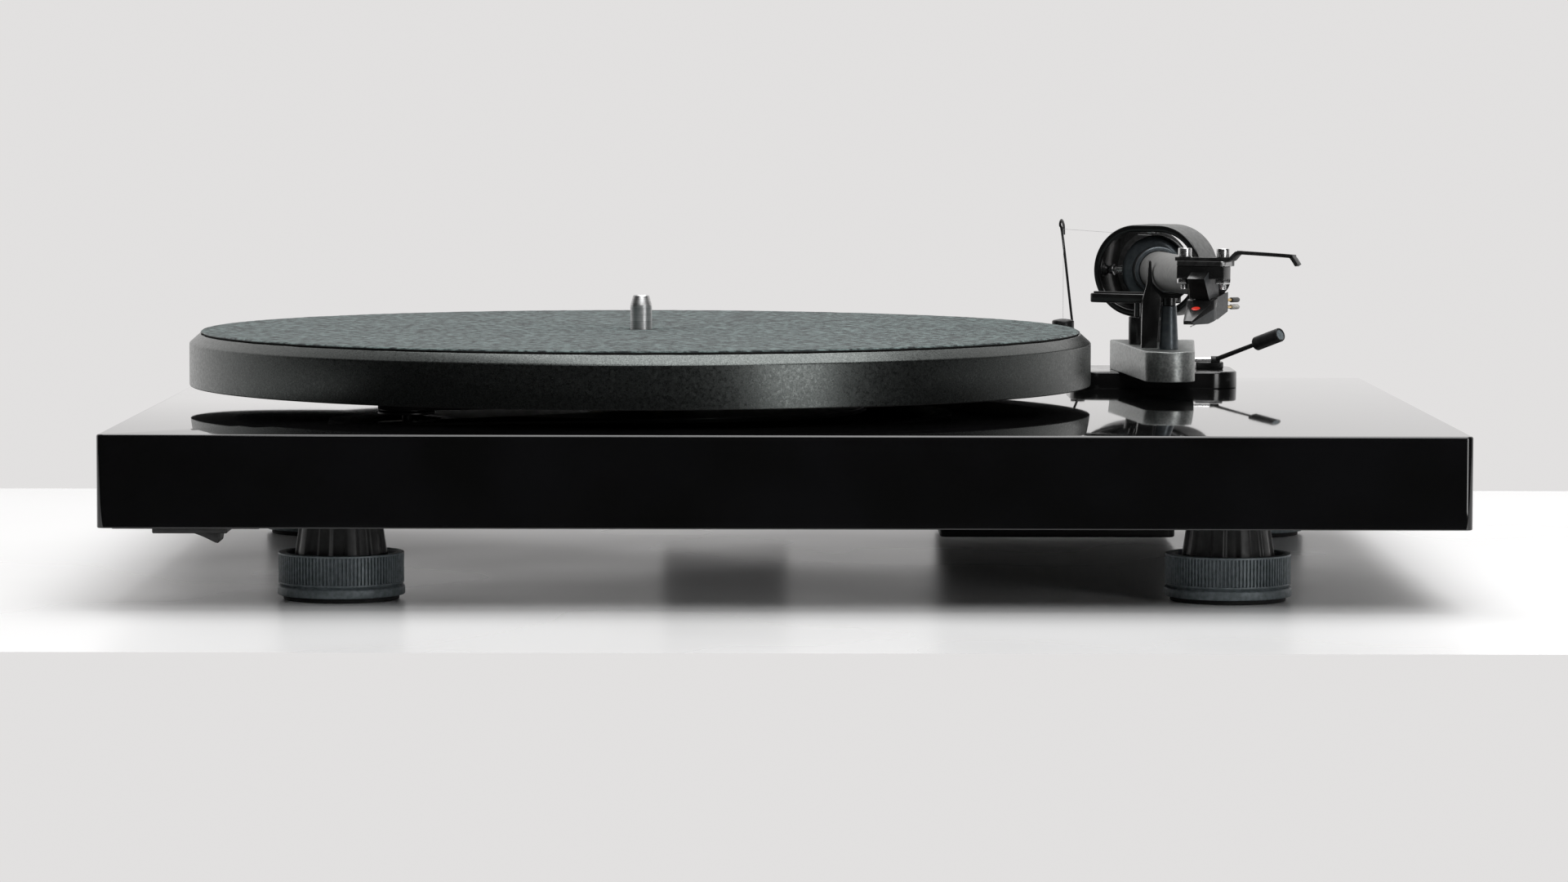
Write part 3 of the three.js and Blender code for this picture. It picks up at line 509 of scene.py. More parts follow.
LACQUER = finish(
    "piano_lacquer",
    grey(0.0035),
    0.05,
    color=(30, 2, grey(0.003), (0.0045, 0.0045, 0.005)),
    rough=(18, 4, 0.03, 0.06),
    bump=(55, 1, 0.012, 0.0002),
    coat=0.45,
)
ARM_BLACK = finish(
    "arm_black_gloss",
    grey(0.006),
    0.16,
    color=(90, 2, grey(0.005), grey(0.009)),
    rough=(140, 3, 0.12, 0.22),
    bump=(700, 2, 0.03, 0.0001),
    coat=0.2,
)
PLATTER_METAL = platter_metal()
FELT = felt_cloth()
# Black rubber for the belt and the pads; also painted shade on the felt's rim and the platter's underside.
RUBBER_AND_PAINTED_SHADE = finish(
    "rubber",
    grey(0.012),
    0.8,
    color=(600, 4, grey(0.008), grey(0.018)),
    rough=(300, 3, 0.68, 0.88),
    bump=(1800, 3, 0.2, 0.0001),
)
PLASTIC = finish(
    "moulded_black",
    grey(0.012),
    0.42,
    color=(500, 3, grey(0.009), grey(0.017)),
    rough=(350, 4, 0.34, 0.5),
    bump=(2200, 2, 0.12, 0.00008),
)
GLOSS = finish(
    "polished_black",
    grey(0.01),
    0.18,
    color=(200, 3, grey(0.008), grey(0.013)),
    rough=(240, 3, 0.13, 0.24),
    bump=(900, 2, 0.03, 0.00008),
)
SLATE = finish(
    "slate_metal",
    (0.15, 0.18, 0.19),
    0.5,
    color=(700, 4, (0.12, 0.145, 0.155), (0.19, 0.22, 0.235)),
    rough=(420, 4, 0.38, 0.55),
    bump=(2400, 2, 0.12, 0.0001),
    metallic=0.2,
)
POST = finish(
    "post_metal",
    (0.09, 0.105, 0.115),
    0.36,
    color=(500, 3, (0.075, 0.088, 0.098), (0.115, 0.13, 0.14)),
    rough=(800, 3, 0.3, 0.44),
    bump=(2600, 2, 0.1, 0.00008),
    metallic=0.6,
)
SILVER = finish(
    "silver_satin",
    (0.34, 0.355, 0.35),
    0.36,
    color=(1300, 2, (0.27, 0.285, 0.28), (0.43, 0.445, 0.435)),
    rough=(600, 4, 0.34, 0.5),
    bump=(2400, 2, 0.14, 0.0001),
    metallic=0.9,
)
TUBE_PAINT = finish(
    "tube_satin",
    (0.13, 0.13, 0.125),
    0.5,
    color=(800, 3, (0.11, 0.11, 0.107), (0.16, 0.16, 0.155)),
    rough=(500, 4, 0.44, 0.58),
    bump=(2600, 2, 0.08, 0.00008),
    metallic=0.3,
)
# Mid grey for painted light on the gimbal ring's outer surface.
PAINTED_LIGHT_GREY = finish(
    "band_painted_light",
    (0.13, 0.13, 0.13),
    0.48,
    color=(900, 3, (0.11, 0.112, 0.11), (0.155, 0.157, 0.155)),
    rough=(500, 4, 0.4, 0.56),
    bump=(2400, 2, 0.1, 0.00008),
    metallic=0.35,
)
DARK_PLATE = finish(
    "dark_plate",
    (0.03, 0.03, 0.031),
    0.34,
    color=(600, 4, grey(0.022), grey(0.045)),
    rough=(900, 3, 0.26, 0.44),
    bump=(2600, 2, 0.1, 0.00008),
    metallic=0.55,
)
# A bright copy of the dark plate, for painted highlights on the headshell and the tube's end.
PAINTED_HIGHLIGHT_PLATE = finish(
    "painted_highlight_plate",
    (0.42, 0.42, 0.4),
    0.34,
    color=(600, 4, grey(0.34), grey(0.5)),
    rough=(900, 3, 0.28, 0.42),
    metallic=0.9,
)
CHROME = finish(
    "bright_metal",
    grey(0.7),
    0.26,
    color=(400, 3, grey(0.62), grey(0.76)),
    rough=(700, 4, 0.2, 0.34),
    bump=(1500, 2, 0.03, 0.00005),
    metallic=1.0,
)
ALUMINIUM = turned_aluminium()
BRASS = finish(
    "gold_plate",
    (0.72, 0.5, 0.2),
    0.25,
    color=(500, 3, (0.62, 0.42, 0.16), (0.8, 0.58, 0.25)),
    rough=(700, 3, 0.18, 0.34),
    metallic=1.0,
)
CARTRIDGE_GREY = finish(
    "cartridge_grey",
    (0.055, 0.059, 0.061),
    0.4,
    color=(800, 3, (0.045, 0.049, 0.051), (0.067, 0.071, 0.073)),
    rough=(900, 3, 0.34, 0.48),
    bump=(3000, 2, 0.06, 0.00005),
)
RED = finish(
    "red_mark",
    (0.75, 0.03, 0.012),
    0.35,
    color=(900, 2, (0.68, 0.022, 0.008), (0.85, 0.04, 0.018)),
)
NYLON = finish(
    "nylon",
    grey(0.5),
    0.35,
    color=(500, 2, grey(0.42), grey(0.6)),
)
WHITE_LEAD = lead_coat("white_lead", (0.45, 0.44, 0.4))
BLACK_LEAD = lead_coat("black_lead", (0.02, 0.02, 0.02))


def dress(obj, material, body, slot, *nodes):
    """Gives a piece its material and its body, and hides the CAD nodes that it stands for; slot is not
    used.
    """
    obj.data.materials.clear()
    obj.data.materials.append(material)
    if nodes:
        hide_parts(*nodes)
    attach(obj, body)
    return obj


def second_material(obj, material, chosen):
    """Paints the faces that chosen(centre, normal) picks, with the centre in millimetres."""
    obj.data.materials.append(material)
    for polygon in obj.data.polygons:
        if chosen(polygon.center / MM, polygon.normal):
            polygon.material_index = len(obj.data.materials) - 1


# ---------------------------------------------------------------- plinth and feet


def make_plinth():
    outline = rounded_rectangle(PLINTH["width"], PLINTH["depth"], PLINTH["corner"], steps=10)
    board = prism("plinth_board", outline, FOOT_HEIGHT, TOP, PLINTH["edge"], steps=6, low_edge=0.35)
    sx, sy, _ = SWITCH
    cut(
        board,
        prism("tool", circle(12.3, *SPINDLE, 72), 0, 99),
        prism("tool", circle(20.5, *PULLEY, 72), 0, 51),
        prism("tool", circle(11, *PULLEY, 72), 40, 99),
        prism("tool", circle(7.8, PIVOT[0], PIVOT[1], 64), 0, 99),
        prism("tool", box_outline(sx - 10.5, sx + 10.5, sy - 8, sy + 8), 0, 34),
    )
    dress(board, LACQUER, "base", "lacquered_board", "plinth")


def make_foot(place, x, y):
    stand = at(x, y)
    flutes = 10
    bore, wide, narrow, cone_bottom = 4.1, 15.3, 12.7, 8

    def fluted(radius, height, angle):
        if radius < 11 or not cone_bottom + 0.8 <= height <= FOOT_HEIGHT - 0.8:
            return radius
        return radius - 0.5 + 0.45 * max(-1, min(1, 3 * math.cos(flutes * angle)))

    corners = [(bore, cone_bottom), (wide, cone_bottom), (narrow, FOOT_HEIGHT), (bore, FOOT_HEIGHT)]
    cone_profile = fillet(corners, 0.3, closed=True)
    fine = []
    for (r0, z0), (r1, z1) in zip(cone_profile, cone_profile[1:] + cone_profile[:1]):
        fine.append((r0, z0))
        if r0 > 11 and r1 > 11 and abs(z1 - z0) > 10:
            fine += [(r0 + (r1 - r0) * t, z0 + (z1 - z0) * t) for t in (0.03, 0.06, 0.5, 0.94, 0.97)]
    cone = revolve(f"foot_cone_fluted_{place}", fine, stand, flutes * 24, closed=True, ripple=fluted)
    dress(cone, PLASTIC, "base", "black_plastic", f"foot_cone_{place}")

    teeth = 104

    def knurled(radius, height, angle):
        if radius < 19.2 or not 5.6 < height < 14.1:
            return radius
        return radius - 0.36 + 0.34 * max(-1, min(1, 2 * math.cos(teeth * angle)))

    wall = [(19.5, 5.2), (19.5, 5.59), (19.5, 5.7), (19.5, 14.0), (19.5, 14.11)]
    ring_profile = (
        [(0, 1.5)]
        + fillet([(12, 1.5), (19.8, 1.5), (19.8, 4.2), (18.9, 4.6)], 0.5, steps=3)
        + wall
        + fillet([(19.5, 14.2), (19.5, 14.7), (16.9, 14.7), (16.9, 5.4), (4, 5.4), (4, 22)], 0.4, steps=3)
        + [(0, 22)]
    )
    ring = revolve(f"foot_ring_knurled_{place}", ring_profile, stand, teeth * 6, ripple=knurled)
    dress(ring, SLATE, f"foot_ring_{place}", "slate_metal", f"foot_ring_{place}")

    pad_profile = fillet([(0, 0), (18, 0), (18, 1.5), (0, 1.5)], 0.4)
    pad = revolve(f"foot_pad_soft_{place}", pad_profile, stand, 96)
    dress(pad, RUBBER_AND_PAINTED_SHADE, f"foot_pad_{place}", "rubber", f"foot_pad_{place}")


# ---------------------------------------------------------------- drive and platter


def make_bearing():
    centre = at(*SPINDLE)
    rim = [(12, TOP), (17, TOP), (17, TOP + 2), (BEARING_BORE, TOP + 2)]
    housing = [(0, 28), (12, 28)] + rim + [(BEARING_BORE, 32), (0, 32)]
    body = revolve("bearing_housing_turned", fillet(housing, 0.5), centre, 96)
    dress(body, BRASS, "base", "brass", "bearing_housing")
    ball_radius, ball_height = 2.4, 34.45
    ball_profile = []
    for k in range(17):
        angle = math.pi * k / 16
        ball_profile.append((ball_radius * math.sin(angle), ball_height - ball_radius * math.cos(angle)))
    ball_profile[0] = (0, ball_profile[0][1])
    ball_profile[-1] = (0, ball_profile[-1][1])
    ball = revolve("bearing_ball_polished", ball_profile, centre, 32)
    dress(ball, CHROME, "base", "chrome", "bearing_ball")


def make_spindle():
    profile = [
        (0, 36.9),
        (3.3, 36.9),
        (3.8, 37.4),
        (3.8, 59.9),
        (3.6, 59.9),
        (3.6, 86.2),
        (2.75, 89.3),
        (2.3, 89.7),
        (0, 89.7),
    ]
    pin = revolve("spindle_turned", fillet(profile, 0.45), at(*SPINDLE), 64, sharp=50)
    dress(pin, ALUMINIUM, "platter_unit", "aluminium", "spindle")


def make_sub_platter():
    radius, low, high = SUB_PLATTER["radius"], SUB_PLATTER["bottom"], SUB_PLATTER["top"]
    corners = [(BEARING_BORE, low), (radius, low), (radius, high), (BEARING_BORE, high)]
    profile = fillet(corners, 0.4, closed=True)
    disc = revolve("sub_platter_moulded", profile, at(*SPINDLE), 192, closed=True)
    dress(disc, PLASTIC, "platter_unit", "black_plastic", "sub_platter")


def make_platter():
    bottom, top = PLATTER["bottom"], PLATTER["top"]
    profile = [(3.9, bottom)]
    for inner, outer in ((22, 58), (64, 98), (104, 136)):
        profile += [(inner, bottom), (inner + 0.4, bottom + 9), (outer - 0.4, bottom + 9), (outer, bottom)]
    profile += [
        (PLATTER["radius"], bottom),
        (PLATTER["radius"], PLATTER["shoulder"]),
        (PLATTER["top_radius"], top),
        (3.9, top),
    ]
    rounded = fillet(profile, 0.45, closed=True)
    disc = revolve("platter_turned", rounded, at(*SPINDLE), 288, closed=True, sharp=24)
    dress(disc, PLATTER_METAL, "platter_unit", "dark_metal", "platter")

    # Painted shade: the platter's underside and the walls of its grooves are painted near-black matte,
    # darker than its metal.
    def painted_shade_underneath(centre, normal):
        return normal.z < -0.5 or math.dist(centre.xy, SPINDLE) < 145 and centre.z < top - 1

    second_material(disc, RUBBER_AND_PAINTED_SHADE, painted_shade_underneath)


def make_mat():
    """A felt disc whose top and rim wander a little, as cut felt does."""
    rng = random.Random(11)
    waves = [(rng.randint(3, 90), rng.uniform(0, TAU), rng.uniform(0.02, 0.07)) for _ in range(26)]

    def ragged(radius, height, angle):
        if radius < MAT["radius"] - 1:
            return radius
        return radius - 0.35 + sum(size * math.sin(n * angle + phase) for n, phase, size in waves) * 0.6

    bottom, top = MAT["bottom"] + 0.02, MAT["top"]
    edge = MAT["radius"]
    rim = [
        (edge - 0.6, bottom),
        (edge - 0.05, bottom + 0.3),
        (edge, bottom + 0.6),
        (edge - 0.4, top - 0.12),
        (edge - 1.2, top),
    ]
    inner = [(r, top) for r in range(140, 8, -6)]
    hole = [(6, top), (5.4, top - 0.25), (5.3, bottom + 0.4), (5.5, bottom)]
    disc = revolve("mat_cloth", rim + inner + hole, at(*SPINDLE), 480, closed=True, ripple=ragged, sharp=60)
    for vertex in disc.data.vertices:
        height = vertex.co.z / MM
        if height > top - 0.02:
            vertex.co.z += rng.uniform(-0.07, 0.0) * MM
    dress(disc, FELT, "platter_unit", "felt", "felt_mat")
    # Painted shade: the felt's rim and underside are painted near-black matte, though they are the same
    # felt as its top.
    second_material(disc, RUBBER_AND_PAINTED_SHADE, lambda c, n: n.z < 0.4)


def belt_outline(inflate, steps=64):
    """The open belt's outline: an arc on each wheel, joined by its straight runs."""
    dx, dy = PULLEY[0] - SPINDLE[0], PULLEY[1] - SPINDLE[1]
    heading = math.atan2(dy, dx)
    big, small = SUB_PLATTER["radius"] + inflate, PULLEY_RADIUS + inflate
    spread = math.acos((big - small) / math.hypot(dx, dy))
    points = []
    for k in range(steps + 1):
        angle = heading + spread + (TAU - 2 * spread) * k / steps
        points.append((SPINDLE[0] + big * math.cos(angle), SPINDLE[1] + big * math.sin(angle)))
    for k in range(steps // 4 + 1):
        angle = heading - spread + 2 * spread * k / (steps // 4)
        points.append((PULLEY[0] + small * math.cos(angle), PULLEY[1] + small * math.sin(angle)))
    return points


def make_belt():
    outer_corners = ((0.78, 56.9), (0.9, 57.1), (0.9, 58.7), (0.78, 58.9))
    inner_corners = ((0.42, 58.9), (0.3, 58.7), (0.3, 57.1), (0.42, 56.9))
    corners = outer_corners + inner_corners
    loops = [[(x, y, z) for x, y in belt_outline(out)] for out, z in corners]
    belt = closed_loft("belt_rubber", loops)
    dress(belt, RUBBER_AND_PAINTED_SHADE, "base", "rubber", "drive_belt")


def make_motor():
    centre = at(*PULLEY)
    r = PULLEY_RADIUS
    profile = [
        (0, 50.9),
        (1.5, 50.9),
        (1.5, 55.4),
        (r + 0.9, 55.4),
        (r + 0.9, 56.2),
        (r, 56.6),
        (r + 0.1, 57.9),
        (r, 59.2),
        (2.4, 59.2),
        (2.4, 58.9),
        (0, 58.9),
    ]
    pulley = revolve("pulley_turned", fillet(profile, 0.2), centre, 96)
    dress(pulley, DARK_PLATE, "motor_rotor", "brass", "motor_pulley")
    shell = [(0, 25.9), (19, 25.9), (19, 50.4), (5, 50.4), (5, 50.39), (0, 50.39)]
    motor = revolve("motor_can", fillet(shell, 1.2), centre, 96)
    dress(motor, ALUMINIUM, "base", "aluminium", "motor_body")
    cover_top = FOOT_HEIGHT - 0.1
    cover = [(0, 23.1), (21.5, 23.1), (23, 24.1), (23, cover_top), (0, cover_top)]
    plate = revolve("motor_cover_moulded", fillet(cover, 0.6), centre, 96)
    dress(plate, PLASTIC, "base", "black_plastic", "motor_cover")


# ---------------------------------------------------------------- switch and sockets


def make_switch():
    sx, sy, pivot = SWITCH
    plate = block("switch_bezel_moulded", -205, -160, sy - 15, sy + 15, 24.5, 25.5, 0.3)
    join(plate, block("rim", sx - 11.5, sx + 11.5, sy - 9, sy + 9, 22.6, 25.2, 0.5))
    cut(plate, prism("tool", box_outline(sx - 10, sx + 10, sy - 7.4, sy + 7.4), 20, 30))
    dress(plate, PLASTIC, "base", "black_plastic", "switch_bezel")

    steps = 20
    lower = []
    for k in range(steps + 1):
        x = -9.3 + 18.6 * k / steps
        dip = max(0.0, 1 - (abs(x) / 8.2) ** 1.6)
        lower.append((x, -3 + 1.8 * dip))
    outline = lower + [(9.3, 1), (-9.3, 1)]
    rocked = Matrix.Rotation(math.radians(10), 4, "Y")
    stand = at(sx, sy, pivot) @ rocked @ STAND_UP
    rocker = prism("speed_rocker_moulded", outline, -7, 7, 0.0, stand)
    ease(rocker, 0.35)
    dress(rocker, PLASTIC, "speed_switch", "black_plastic", "speed_rocker")


def backward(name, x, z, profile, start_y, segments=48, closed=False):
    place = at(x, start_y, z) @ LIE_ALONG_Y
    return revolve(name, profile, place, segments, closed)


def make_sockets():
    outline = rounded_rectangle(82, 64, 3, 95, 114)
    box = prism("junction_box_moulded", outline, 2.4, 25.4, 0.8)
    slots = [prism("tool", box_outline(62, 66, 92 + 6 * k, 94 + 6 * k), 0, 3.0) for k in range(6)]
    cut(box, *slots)
    dress(box, PLASTIC, "base", "black_plastic", "junction_box")

    panel = block("phono_panel", 73, 113, 146, 147.4, 6, 22, 0.3)
    for x in (82, 104):
        join(panel, backward("barrel", x, 14, [(0, 1), (4.15, 1), (4.15, 8.7), (3.85, 9), (0, 9)], 146))
        cut(panel, backward("tool", x, 14, [(0, 0), (1.65, 0), (1.65, 8), (0, 8)], 149))
    dress(panel, BRASS, "base", "brass", "phono_sockets")
    second_material(panel, PLASTIC, lambda c, n: c.y < 147.45)

    def nut(radius, height, angle):
        if radius < 3.3 or not 2.5 < height < 6.2:
            return radius
        return radius - 0.15 + 0.15 * math.cos(24 * angle)

    collar = [(3.4, 2.2), (3.6, 2.6), (3.6, 6.1), (3.4, 6.5)]
    screw = [(0, 0), (1.6, 0), (1.6, 2.2)] + collar + [(1.6, 6.5), (1.6, 8.7), (1.3, 9), (0, 9)]
    terminal = revolve("ground_terminal_knurled", screw, at(126, 146, 14) @ LIE_ALONG_Y, 144, ripple=nut)
    dress(terminal, BRASS, "base", "brass", "ground_terminal")

    shell = prism("power_socket_moulded", rounded_rectangle(44, 40, 3, -21, 126), 14, 25.4, 0.8)
    cut(shell, backward("tool", -21, 20, [(0, 0), (2.9, 0), (2.9, 12), (0, 12)], 137))
    join(shell, backward("pin", -21, 20, bar_profile(0.9, 9.5, 0.3), 136))
    dress(shell, PLASTIC, "base", "black_plastic", "power_socket")


# ---------------------------------------------------------------- tonearm base


def block_outline():
    points = [(121.4, 30.8)]
    for k in range(1, 24):
        angle = math.pi + math.pi * k / 24
        points.append((129.95 + 8.55 * math.cos(angle), 30.8 + 8.55 * math.sin(angle)))
    points.append((138.5, 30.8))
    points += [(144.2, 107.5), (143.7, 109), (115.0, 109), (114.5, 107.5)]
    return points


def on_axle(x):
    """The point at x on the cueing lever's axle."""
    return Vector((x, CUE_AXLE_Y, CUE_AXLE_Z))


def column_bore():
    return prism("tool", circle(7.8, PIVOT[0], PIVOT[1], 64), 0, 99)


def make_arm_base():
    plate_outline = rounded_rectangle(58.4, 44, 10, 129.1, 109.6, 14)
    plate = prism("arm_plate_lacquered", plate_outline, TOP, PLATE_TOP, 0.7, steps=6, low_edge=0.3)
    cut(plate, column_bore())
    dress(plate, ARM_BLACK, "base", "piano_black", "arm_base_plate")

    body = prism("arm_block_satin", block_outline(), PLATE_TOP, BLOCK_TOP, 0.6, steps=4, low_edge=0.3)
    axle_bore = rod("tool", on_axle(137), on_axle(150), bar_profile(0.86, 13, 0.01))
    cut(body, column_bore(), axle_bore)
    dress(body, SILVER, "base", "silver_plastic", "arm_base_block")

    column = fillet([(4.56, 40), (7.5, 40), (7.5, COLUMN_TOP), (4.56, COLUMN_TOP)], 0.5, closed=True)
    tube = revolve("arm_column_turned", column, at(PIVOT[0], PIVOT[1]), 72, closed=True)
    dress(tube, PLASTIC, "base", "black_plastic", "arm_column")


def make_arm_rest():
    base = fillet([(0, BLOCK_TOP), (3.3, BLOCK_TOP), (2.6, 85), (0, 85)], 0.25)
    post = revolve("rest_post_turned", base, at(*REST_POST), 64)
    dress(post, POST, "base", "slate_metal", "arm_rest_post")

    blade = [
        (120.9, BLOCK_TOP + 0.4),
        (126.3, BLOCK_TOP + 0.4),
        (127.6, 88),
        (124.6, 92),
        (124.1, 100.2),
        (123.7, 100.6),
        (123.3, 100.2),
        (122.7, 92.6),
        (121.2, 87),
    ]
    upright = at(0, REST_POST[1]) @ STAND_UP
    blade_outline = fillet(blade, 0.35, closed=True, steps=3)
    clip = prism("rest_clip_moulded", blade_outline, -1.6, 1.6, 0.2, upright, steps=3)
    bowl = []
    for k in range(25):
        angle = math.radians(-14 - 139 * k / 24)
        bowl.append((131 + 7.1 * math.cos(angle), 96.3 + 7.1 * math.sin(angle)))
    cradle = [(124, 87.6), (133.6, 87.6), (137.6, 90.9), (139, 94.5), (138.3, 94.6)] + bowl + [(123.8, 91)]
    collar = prism("cradle", cradle, -1.5, 1.5, 0.2, upright, steps=3)
    neck_profile = fillet([(0, 85), (2.3, 85), (2.3, 88.6), (0, 88.6)], 0.2)
    neck = revolve("neck", neck_profile, at(*REST_POST) @ Matrix.Diagonal((1, 0.63, 1, 1)), 40)
    join(clip, collar, neck)
    dress(clip, GLOSS, "base", "black_plastic", "arm_rest_clip")


def arc_outline(inner, outer, start, end, steps=40):
    """A round-ended band about the arm's pivot."""
    middle, half = (inner + outer) / 2, (outer - inner) / 2

    def arc(centre, radius, first, last, count, ends=1):
        points = []
        for k in range(1 - ends, count + ends):
            angle = math.radians(first + (last - first) * k / count)
            points.append((centre[0] + radius * math.cos(angle), centre[1] + radius * math.sin(angle)))
        return points

    def on_middle(angle):
        turn = math.radians(angle)
        return PIVOT[0] + middle * math.cos(turn), PIVOT[1] + middle * math.sin(turn)

    outer_side = arc(PIVOT, outer, start, end, steps)
    far_cap = arc(on_middle(end), half, end, end + 180, 10, ends=0)
    inner_side = arc(PIVOT, inner, end, start, steps)
    near_cap = arc(on_middle(start), half, start + 180, start + 360, 10, ends=0)
    return outer_side + far_cap + inner_side + near_cap


def make_cueing():
    guide = fillet([(1.56, BLOCK_TOP), (3.5, BLOCK_TOP), (3.5, 79.8), (1.56, 79.8)], 0.4, closed=True)
    barrel = revolve("cue_guide_turned", guide, at(*LIFT_GUIDE), 64, closed=True)
    dress(barrel, GLOSS, "base", "black_plastic", "cue_guide")

    bottom, top = 84.8, 88
    rail = prism("cue_bar_moulded", arc_outline(32, 36, -131.2, -82.6), bottom, top, 0.5, steps=3)
    join(rail, block("web", 119.9, 124.9, 66.5, 77.5, bottom, top - 0.6, 0.5))
    join(rail, revolve("stem", bar_profile(1.5, 12.5, 0.2), at(*LIFT_GUIDE, 73.3), 32))
    dress(rail, GLOSS, "cue_lift", "black_plastic", "cue_lift_bar")
    strip = prism("cue_pad_soft", arc_outline(32.8, 35.2, -130.6, -83), top, top + 0.6, 0.2, steps=3)
    dress(strip, RUBBER_AND_PAINTED_SHADE, "cue_lift", "rubber", "cue_bar_pad")

    housing = block("cue_housing_moulded", 144.8, 154.4, 106, 122, PLATE_TOP, PLATE_TOP + 2.6, 0.5)
    dress(housing, GLOSS, "base", "black_plastic", "cue_housing")

    hub = on_axle(151.2)
    aim = Vector((12.35, -12, 5.8)).normalized()
    axle = rod("axle", on_axle(138), on_axle(151.5), bar_profile(0.8, 13.5, 0.1))
    lever = rod("cue_lever_bent", on_axle(149.6), on_axle(152.8), bar_profile(1.25, 3.2, 0.35))
    join(lever, rod("arm", hub, hub + aim, bar_profile(0.85, 20.4, 0.1, 0.75)), axle)
    dress(lever, DARK_PLATE, "cue_control", "chrome", "cue_lever")
    second_material(lever, CHROME, lambda c, n: c.x < 149.7)

    knob_profile = [
        (0, 21.2),
        (0.9, 21.2),
        (0.9, 19.2),
        (2.1, 19.2),
        (2.45, 19.7),
        (2.45, 30.4),
        (2.3, 30.8),
        (1.9, 30.8),
        (1.75, 30.6),
        (0, 30.5),
    ]
    knob = rod("cue_knob_moulded", hub, hub + aim, knob_profile, segments=64)
    dress(knob, PLASTIC, "cue_control", "black_plastic", "cue_knob")
    end = hub + aim * 30.8
    second_material(knob, SLATE, lambda c, n: (c - end).length < 1.9 and n.dot(aim) > 0.8)


SKATE_EYE = (97.8, 105.6, TOP + 55.2)


def make_anti_skate():
    x, y = 103.6, 112
    boss_top = PLATE_TOP + 2.8
    boss_profile = fillet([(0, PLATE_TOP), (2.6, PLATE_TOP), (2.5, boss_top), (0, boss_top)], 0.3)
    boss = revolve("skate_wire_formed", boss_profile, at(x, y), 40)
    path = smooth_path(
        [
            (x, y, PLATE_TOP + 1),
            (x - 2.2, y, TOP + 22),
            (x - 5.7, y, TOP + 52),
            (x - 6.7, y - 1, TOP + 56.4),
            (x - 6.3, y - 2.6, TOP + 58.2),
            (x - 5.7, y - 4.6, TOP + 56.6),
            (x - 5.6, y - 5.4, TOP + 53.2),
        ],
        12,
    )
    join(boss, sweep("wire", path, 0.45, sides=14))
    dress(boss, DARK_PLATE, "base", "aluminium", "anti_skate_wire")

    top = TOP + 23.7
    profile = fillet([(0, top - 11), (3.9, top - 11), (3.9, top - 0.6), (1.2, top - 0.1), (0, top)], 0.7)
    weight = revolve("skate_weight_turned", profile, at(*SKATE_EYE[:2]), 64)
    dress(weight, DARK_PLATE, "skate_weight", "dark_metal", "anti_skate_weight")

    upright = sweep("skate_thread_drop", [(*SKATE_EYE[:2], top + 0.1), SKATE_EYE], 0.05, sides=8)
    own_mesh(upright)
    dress(upright, NYLON, "base", "nylon", "anti_skate_thread")
    stub = (131.3, 119.2, PIVOT[2] + 11.6)
    span = [Vector(SKATE_EYE).lerp(Vector(stub), k / 12) for k in range(13)]
    across = sweep("skate_thread_span", span, 0.05, sides=8)
    across.data.materials.append(NYLON)
    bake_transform(across)


# ---------------------------------------------------------------- gimbal

RING = {"high": 16.1, "straight": 4.2, "wall": 2.5, "half": 8.25}


def stadium(half_height, half_straight, steps=40):
    points = []
    for side in (1, -1):
        for k in range(steps + 1):
            angle = -math.pi / 2 + math.pi * k / steps
            along = half_straight + half_height * math.cos(angle)
            points.append((side * along, side * half_height * math.sin(angle)))
    return points


def make_gimbal_ring():
    """The oval housing: a rounded band closed on itself, with a stem below."""
    high, straight, wall, half = RING["high"], RING["straight"], RING["wall"], RING["half"]
    section = fillet(
        [(high, -half), (high, half), (high - wall, half), (high - wall, -half)], 0.8, closed=True, steps=5
    )
    loops = [[(x, depth, z) for x, z in stadium(radius, straight)] for radius, depth in section]
    ring = closed_loft("gimbal_ring_gloss", loops, RING_FRAME, flip=True)
    stem_profile = fillet([(0, -49), (4.5, -49), (4.5, -17.6), (6.4, -17.6), (6.4, -15), (0, -15)], 0.4)
    stem = revolve("stem", stem_profile, RING_FRAME, 64)
    join(ring, stem)
    dress(ring, ARM_BLACK, "arm_carriage", "piano_black", "gimbal_ring")
    inverse = RING_FRAME.inverted()

    # Painted light: the gloss-black ring's whole outer surface is painted mid grey, as it looks where the
    # light falls on it.
    def painted_light_band(centre, normal):
        spot = inverse @ centre
        reach = math.hypot(max(0.0, abs(spot.x) - straight), spot.z)
        return reach > high - 0.35 and abs(spot.y) < half - 0.25

    second_material(ring, PAINTED_LIGHT_GREY, painted_light_band)
    for side, word in ((-1, "left"), (1, "right")):
        cup = fillet([(0, 0), (1.3, 0), (1.95, 1.8), (1.85, 1.9), (0.05, 0.7), (0, 0.7)], 0.12)
        place = RING_FRAME @ at(side * 17.6, 0) @ Matrix.Rotation(-side * math.pi / 2, 4, "Y")
        pivot_cup = revolve(f"pivot_cup_turned_{word}", cup, place, 40)
        dress(pivot_cup, CHROME, "arm_carriage", "chrome", f"pivot_cup_{word}")


def make_skate_stub():
    profile = [(0, 8.26), (1.1, 8.26)]
    for groove in (11.5, 14.5, 17.5):
        profile += [(1.1, groove - 0.6), (0.7, groove), (1.1, groove + 0.6)]
    profile += [(1.1, 19.7), (0.85, 20), (0, 20)]
    place = RING_FRAME @ at(-6, 0, 13.7) @ LIE_ALONG_Y
    stub = revolve("skate_stub_turned", fillet(profile, 0.2), place, 32)
    dress(stub, CHROME, "arm_carriage", "chrome", "anti_skate_stub")


